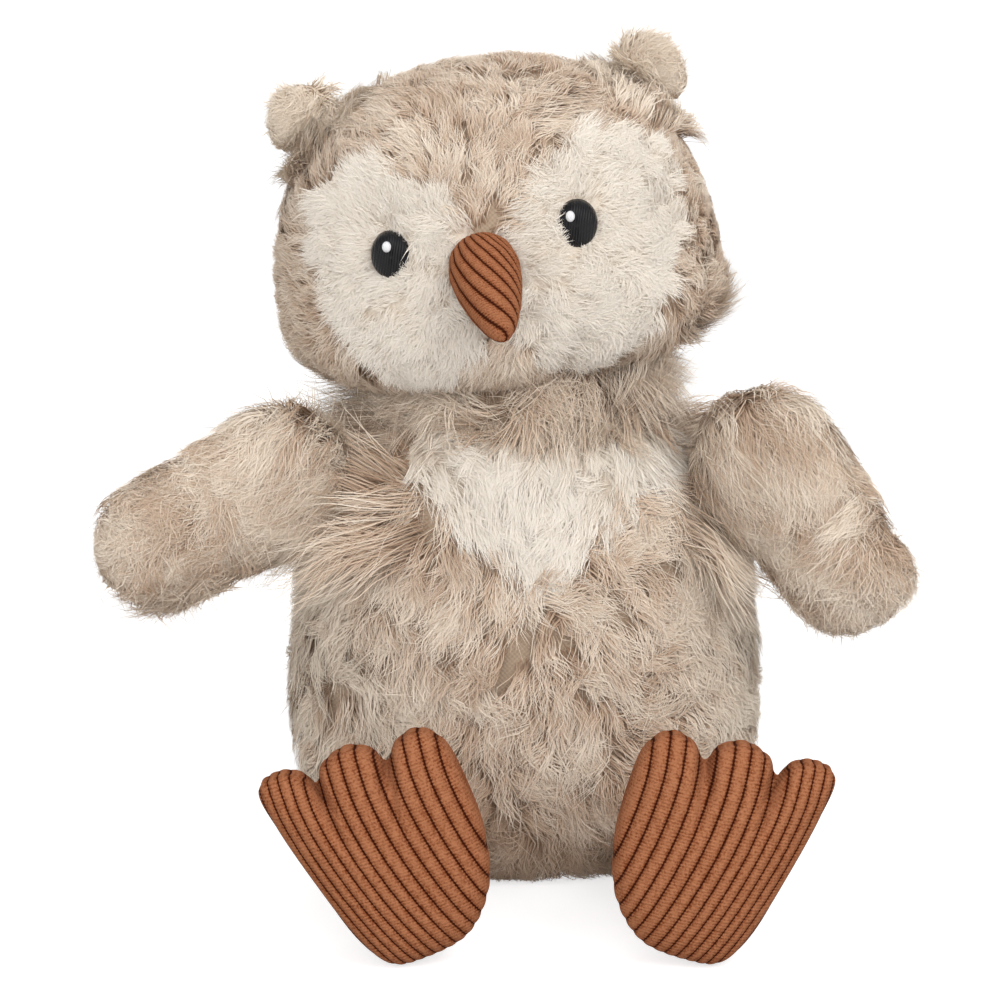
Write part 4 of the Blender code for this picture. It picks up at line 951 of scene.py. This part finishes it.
def build_ears(fur, hide, rng):
    for side, sign in SIDES.items():
        joint = JOINTS[f"ear_{side}_flex"]
        along, ahead = Vector(joint["axis"]), HEAD_FRAME.col[1].to_3d()
        up = along.cross(ahead)
        place = Matrix((along, ahead, up)).transposed().to_4x4()
        place.translation = Vector(joint["pos_m"])
        form = Form(place, (0.0, 0.0, EAR_CENTRE), (EAR_HALF_WIDTH, EAR_HALF_THICKNESS),
                    (EAR_RISE, EAR_SINK), EAR_POWERS, section=2.4)
        backing = form.hide(f"ear_{side}_backing", hide, rings=16, columns=28, grow=-BACKING_DEPTH / 2)
        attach(backing, f"ear_{side}")
        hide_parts(f"ear_{side}_front", f"ear_{side}_back")
        dress_ear(side, form, np.array(joint["pos_m"]), np.array(up), -sign * np.array(along), fur, rng)


def dress_ear(side, form, base, up, inward, fur, rng):
    """The ear's own fur, and the longer fur of the head round its base."""
    def comb(point, normal):
        return up + 0.25 * unit(point - base)

    def size(point):
        """Longer towards the crown, shorter at the top of the outer corner."""
        across = np.clip((point - base) @ inward / EAR_HALF_WIDTH, -1.0, 1.0)
        high = ramp((point - base) @ up, 0.0, EAR_RISE)
        return 1.0 + 0.55 * across * (1.0 - 0.4 * high) - 0.60 * np.clip(0.3 - across, 0.0, 1.0) * high

    coat = Pile(0.0060, 0.0022, 0.0020, 34, pale=1.00, swirl=0.5, jitter=0.4, wave=0.0008, rows=4,
                hug=0.4)
    dress(f"ear_{side}_fur", form, f"ear_{side}", 300, coat, comb, rng, fur, size=size)

    def near(point):
        """Within reach of the ear, and farther on the side of the crown."""
        place = point - base
        crown = np.maximum(place @ inward, 0.0)
        spared = crown**2 * (1.0 - 1.0 / EAR_ROOT_STRETCHES[side] ** 2)
        return np.sum(place**2, axis=-1) - spared < EAR_ROOT_REACH**2

    def root_comb(point, normal):
        return up + 0.15 * unit(point - base)

    def root_size(point):
        """Fuller under the outer corner than where the ear meets the crown."""
        return 1.0 - 0.2 * np.clip((point - base) @ inward / EAR_HALF_WIDTH, -1.0, 1.0)

    tuft = Pile(0.0084, 0.0052, 0.0024, 30, pale=0.92, swirl=0.3, jitter=0.3, wave=0.0009, rows=4,
                hug=0.35)
    dress(f"ear_{side}_root_fur", HEAD, "head", 4200, tuft, root_comb, rng, fur, keep=near,
          size=root_size)


def build_eyes(black, white):
    """Satin stitch: a dome of threads that run from edge to edge, each a low ridge."""
    for side in SIDES:
        low, high = (np.array(corner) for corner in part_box(f"eye_{side}"))
        centre = (low + high) / 2
        centre[1] = high[1]
        eye = satin_dome(f"eye_{side}_satin", centre, EYE_HALF_WIDTH, EYE_HALF_HEIGHT,
                         (high[1] - low[1]), EYE_THREADS, black)
        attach(eye, "head")
        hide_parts(f"eye_{side}")
        low, high = (np.array(corner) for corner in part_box(f"eye_glint_{side}"))
        spot = (low + high) / 2
        spot[1] = high[1]
        wide, high_up = GLINT_SWELL
        glint = satin_dome(f"eye_glint_{side}_satin", spot, (high[0] - low[0]) / 2 * wide,
                           (high[2] - low[2]) / 2 * high_up, (high[1] - low[1]) * high_up, GLINT_THREADS,
                           white)
        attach(glint, "head")
        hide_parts(f"eye_glint_{side}")


def satin_dome(name, centre, wide, high, deep, threads, material, lean=math.radians(-8.0)):
    """Half an ellipsoid towards -Y, ridged by its threads: depth is deep * sqrt(1 - r^2) plus a ridge
    that follows |sin| of the thread count across it. A flat back closes it."""
    ring = np.linspace(1.0, 0.0, 22)[:-1, None]
    turn = np.linspace(0.0, math.tau, 80, endpoint=False)[None, :]
    x, z = ring * np.cos(turn), ring * np.sin(turn)
    across = (x * math.cos(lean) + z * math.sin(lean)) * threads / 2 + threads / 2
    ridge = np.abs(np.sin(across * math.pi)) * wide / threads * 0.55
    depth = (deep * np.sqrt(np.clip(1.0 - ring**2, 0, 1)) ** 0.8 + ridge * (ring < 0.99) * 1.0)
    point = centre + np.stack([wide * x, -depth, high * z], axis=-1)
    tip = centre + np.array((0.0, -deep, 0.0))
    back = centre + np.array((0.0, deep * 0.2, 0.0))
    count = np.concatenate([across, across[:, :1]], axis=1)
    along = np.concatenate([z, z[:, :1]], axis=1) * high
    return grid_piece(name, point, material, np.stack([count, along], axis=-1), ends=[back, tip])


def build_beak(cord):
    """A drop along a line from its root in the face to its tip, with lengthwise ribs that run together
    at both ends, seamed underneath."""
    along = np.array((math.sin(BEAK_SWERVE), -math.cos(BEAK_DROOP), -math.sin(BEAK_DROOP)))
    along = turned(unit(along), HEAD_FRAME)
    side = unit(np.cross(along, HEAD_FRAME.col[2].to_3d()))
    over = np.cross(side, along)
    root = placed(np.array(BEAK_ROOT), HEAD_FRAME)
    s = np.linspace(0.004, 0.996, 70)
    width = np.interp(s, *np.transpose(BEAK_PROFILE_SHARES))
    kernel = np.array([1, 2, 3, 2, 1]) / 9.0
    width = np.convolve(np.pad(width, 2, mode="edge"), kernel, mode="valid")[:, None]
    columns = 200
    turn = np.linspace(0.0, math.tau, columns + 1)[None, :] + BEAK_SEAM
    unrolled = turn * BEAK_SPREAD
    count = (1.06 - s[:, None]) * BEAK_LENGTH * np.sin(unrolled) / BEAK_PITCH + 20.3
    rib = np.abs(np.sin(count * math.pi)) ** 0.9
    out = BEAK_RADIUS * width + BEAK_RIB_HEIGHT * (rib - 0.5) * np.minimum(width * 1.6, 1.0)
    point = root + BEAK_LENGTH * s[:, None, None] * along + out[..., None] * (
        np.cos(turn)[..., None] * side + np.sin(turn)[..., None] * over)
    reach = (BEAK_LENGTH * s)[:, None] + 0 * count
    made = grid_piece("beak_corduroy", point[:, :-1], cord, np.stack([count, reach], axis=-1),
                      ends=[root, root + BEAK_LENGTH * along])
    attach(made, "head")
    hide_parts("beak_shell", "beak_stuffing")


def build_legs(cord):
    """Tubes with round ends from the hips to the ankles, ribbed along their length."""
    for side in SIDES:
        hip = np.array(JOINTS[f"leg_{side}_lift"]["pos_m"])
        ankle = np.array(JOINTS[f"foot_{side}_turn"]["pos_m"])
        along = unit(ankle - hip)
        length = np.linalg.norm(ankle - hip)
        across = unit(np.cross(along, (0.0, 0.0, 1.0)))
        up = np.cross(across, along)
        slope = np.linspace(-math.pi / 2, math.pi / 2, 60)[1:-1]
        reach = np.sin(slope) * LEG_RADIUS + np.clip((slope + 0.35) / 0.7, 0.0, 1.0) * length
        wide = np.cos(slope)[:, None]
        turn = np.linspace(0.0, math.tau, LEG_RIBS * 8, endpoint=False)[None, :]
        rib = np.abs(np.sin(turn * LEG_RIBS / 2)) ** 0.6
        out = (LEG_RADIUS - CORD_HEIGHT + CORD_HEIGHT * rib) * wide
        point = hip + reach[:, None, None] * along + out[..., None] * (
            np.cos(turn)[..., None] * across + np.sin(turn)[..., None] * up)
        count = np.linspace(0.0, LEG_RIBS, LEG_RIBS * 8 + 1)[None, :] + 0 * reach[:, None]
        cord_map = np.stack([count, reach[:, None] + 0 * count], axis=-1)
        made = grid_piece(f"leg_{side}_corduroy", point, cord, cord_map,
                          ends=[hip - LEG_RADIUS * along, ankle + LEG_RADIUS * along])
        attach(made, f"leg_{side}")
        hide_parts(f"leg_{side}_skin", f"leg_{side}_stuffing")


def foot_surface(sign, forward, slopes, columns):
    """One half of a foot in its own frame, x and z in its plane and y its depth. The outline shrinks
    towards its middle with the cosine of the slope and puffs out with a power of its sine. Creases run in
    from the two notches, and ribs rise by CORD_HEIGHT times a power of |sin| of their count."""
    outline = smooth_outline(FOOT_OUTLINE_SHARES, sign * FOOT_HALF_WIDTH, FOOT_LENGTH, columns)
    middle = np.array((0.0, FOOT_LENGTH * FOOT_CENTRE_SHARE))
    shrink = np.cos(slopes)[:, None, None]
    flat = middle + (outline - middle)[None] * shrink
    x, z = flat[..., 0] * sign, flat[..., 1]
    height = z / FOOT_LENGTH
    depth = (SOLE_DEPTH if forward < 0 else FOOT_BACK_DEPTH) * np.sin(slopes)[:, None] ** FOOT_PUFF_POWER
    for share, tilt in CREASE_SHARES:
        crease_x = FOOT_HALF_WIDTH * (share - tilt * (0.90 - height) * 2.0)
        fade = np.clip((height - 0.55) / 0.32, 0.0, 1.0) ** 1.3
        crease = np.exp(-((x - crease_x) / CREASE_HALF_WIDTH) ** 2) * (np.sin(slopes)[:, None] > 0)
        depth = depth - CREASE_DEPTH * fade * crease
    shift = CORD_HEEL_SHIFT * np.clip(1.0 - height / 0.85, 0.0, 1.0) ** 1.6
    lie = x - shift
    lie = (lie + CORD_OPENING * np.clip(lie, 0.0, None) ** 2) / (CORD_HEEL_SHARE + CORD_TOE_SHARE * height)
    count = lie / CORD_PITCH + CORD_START
    rib = np.abs(np.sin(count * math.pi)) ** CORD_FLATNESS
    edge = np.clip(np.sin(slopes)[:, None] * 5.0, 0.0, 1.0)
    depth = np.maximum(depth, 0.0) + CORD_HEIGHT * (rib - 1.0) * edge
    flat = middle + (flat - middle) * (1.0 + CORD_EDGE_NOTCH * (rib - 1.0) * (1.0 - edge))[..., None]
    point = np.stack([flat[..., 0], forward * depth, flat[..., 1]], axis=-1)
    return point, np.stack([count, z], axis=-1)


def build_feet(cord):
    for side, sign in SIDES.items():
        ankle = Vector(JOINTS[f"foot_{side}_turn"]["pos_m"])
        turned_frame = Matrix.Rotation(sign * FOOT_SPLAYS[side], 4, "Y") @ Matrix.Rotation(-FOOT_LEAN, 4, "X")
        columns = 420
        front, front_map = foot_surface(sign, -1, np.linspace(0.0, math.pi / 2, 68)[:-1], columns)
        back, back_map = foot_surface(sign, 1, np.linspace(0.0, math.pi / 2, 34)[:-1], columns)
        rows = np.concatenate([back[:0:-1], front])
        maps = np.concatenate([back_map[:0:-1], front_map])
        lowest = turned(rows.reshape(-1, 3), turned_frame)[:, 2].min()
        heel = Vector((ankle.x - sign * HEEL_INSETS[side], ankle.y - FOOT_AHEAD, FOOT_CLEARANCE - lowest))
        place = Matrix.Translation(heel) @ turned_frame
        maps = np.concatenate([maps, maps[:, :1]], axis=1)
        middle = np.array((0.0, 0.0, FOOT_LENGTH * FOOT_CENTRE_SHARE))
        ends = [middle + (0.0, FOOT_BACK_DEPTH, 0.0), middle - (0.0, SOLE_DEPTH, 0.0)]
        made = grid_piece(f"foot_{side}_corduroy", placed(rows, place), cord, maps,
                          ends=placed(np.array(ends), place))
        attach(made, f"foot_{side}")
        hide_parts(f"foot_{side}_sole", f"foot_{side}_back", f"foot_{side}_stuffing")


def finish_nodes(finishes):
    """A procedural finish for each node of the frame that stays as it is and whose name holds one of the
    given keys.
    """
    for name, node in frame["nodes"].items():
        kinds = [key for key in finishes if key in name]
        if kinds and not node.hide_render:
            node.data.materials.clear()
            node.data.materials.append(finishes[kinds[0]])


def build_stage():
    """A pale floor and backdrop in one sweep, which show white to the camera."""
    made = Finish("pale stage", Roughness=0.9)
    made.set(Base_Color=STAGE_GREY)
    t = np.linspace(0.0, 1.0, 25)
    bend = STAGE_BACK - STAGE_BEND
    run = np.concatenate([[STAGE_FRONT], STAGE_BEND + bend * np.sin(t * math.pi / 2), [STAGE_BACK]])
    rise = np.concatenate([[0.0], bend * (1 - np.cos(t * math.pi / 2)), [STAGE_TOP]])
    across = np.array([-STAGE_HALF_WIDTH, STAGE_HALF_WIDTH])
    points = np.stack([np.tile(across, len(run)), np.repeat(run, 2), np.repeat(rise, 2)], axis=-1)
    k = np.arange(len(run) - 1) * 2
    floor = build_mesh("stage_sweep", points, [np.stack([k, k + 1, k + 3, k + 2], axis=-1)], made.material)
    surface = Value(made.tree, made.surface.outputs[0])
    connect(made.tree, made.tree.nodes["Material Output"].inputs["Surface"], white_to_camera(made, surface))


def white_to_camera(made, surface):
    """Adds a white glow that only the camera, mirrors and glass see, so the floor keeps its shadow."""
    seen, glossy, through = (made.node("LightPath", {}, {}, output=f"Is {kind} Ray")
                             for kind in ("Camera", "Glossy", "Transmission"))
    seen = seen.maths("MAXIMUM", seen, glossy)
    seen = seen.maths("MAXIMUM", seen, through)
    dark, glow = (made.node("Emission", {}, {"Strength": strength}) for strength in (0.0, STAGE_GLOW))
    shown = made.node("MixShader", {}, {0: seen, 1: dark, 2: glow})
    return made.node("AddShader", {}, {0: surface, 1: shown})


def add_lamp(name, place, size, power):
    lamp = bpy.data.lights.new(name, "AREA")
    lamp.shape, lamp.size, lamp.size_y = "RECTANGLE", size, size
    lamp.energy = power
    made = bpy.data.objects.new(name, lamp)
    made.location = place
    made.rotation_mode = "QUATERNION"
    made.rotation_quaternion = (VIEW_TARGET - Vector(place)).to_track_quat("-Z", "Y")
    bpy.context.scene.collection.objects.link(made)


def build_light():
    """A soft key from the viewer's right, a fill from the left, and a pale world."""
    add_lamp("key_light", (0.75, -0.95, 0.95), 0.7, 10.5)
    add_lamp("front_light", (0.00, -1.40, 0.70), 1.0, 8.0)
    add_lamp("fill_light", (-0.90, -1.0, 0.55), 0.9, 5.0)
    add_lamp("top_light", (0.0, 0.25, 1.3), 0.9, 3.5)
    world = bpy.data.worlds.new("pale world")
    world.use_nodes = True
    world.node_tree.nodes["Background"].inputs["Color"].default_value = (1.0, 1.0, 1.0, 1.0)
    world.node_tree.nodes["Background"].inputs["Strength"].default_value = WORLD_LIGHT
    bpy.context.scene.world = world


def build_camera():
    away = Vector((0.0, -math.cos(VIEW_ELEVATION), math.sin(VIEW_ELEVATION))) * VIEW_DISTANCE
    data = bpy.data.cameras.new("camera")
    data.sensor_width = SENSOR_WIDTH_MM
    data.lens = SENSOR_WIDTH_MM * VIEW_DISTANCE * PIXELS_PER_METRE / IMAGE_WIDTH
    data.clip_start, data.clip_end = 0.05, 20.0
    camera = bpy.data.objects.new("camera", data)
    camera.location = VIEW_TARGET + away
    camera.rotation_mode = "QUATERNION"
    camera.rotation_quaternion = (-away).to_track_quat("-Z", "Y")
    bpy.context.scene.collection.objects.link(camera)
    bpy.context.scene.camera = camera


def main():
    rng = np.random.default_rng(11)
    fur = fur_finish("tan fur pile", FUR_ROOT, FUR_BODY, FUR_TIP)
    cream = fur_finish("cream fur pile", CREAM_ROOT, CREAM_BODY, CREAM_TIP)
    hide = backing_finish("fur backing", BACKING_TAN)
    cord = cord_finish("rust corduroy pile")
    black = satin_finish("black satin stitch", EYE_BLACK, EYE_SHEEN, 0.38, 0.22)
    white = satin_finish("white satin stitch", GLINT_SHADE, GLINT_WHITE, 0.5, 0.5)
    build_torso(fur, cream, hide, rng)
    build_head(fur, cream, hide, rng)
    build_neck(fur, hide, rng)
    build_wings(fur, hide, rng)
    build_ears(fur, hide, rng)
    build_eyes(black, white)
    build_beak(cord_finish("rust corduroy of the beak", 0.00060, 1.8, 0.5))
    build_legs(cord)
    build_feet(cord)
    finish_nodes({
        "thread": spun_finish("sewing thread", THREAD_TAN, 0.6, 2500.0, 0.5),
        "stitches": spun_finish("sewing stitches", THREAD_TAN, 0.6, 2500.0, 0.5),
        "stuffing": spun_finish("polyester wadding", FIBRE_WHITE, 0.95, 700.0, 0.75),
        "bean_bag": spun_finish("pellet bag cotton", BAG_COTTON, 0.9, 1500.0, 0.7),
    })
    build_stage()
    build_light()
    build_camera()
    bpy.context.scene.view_settings.view_transform = "Standard"


main()
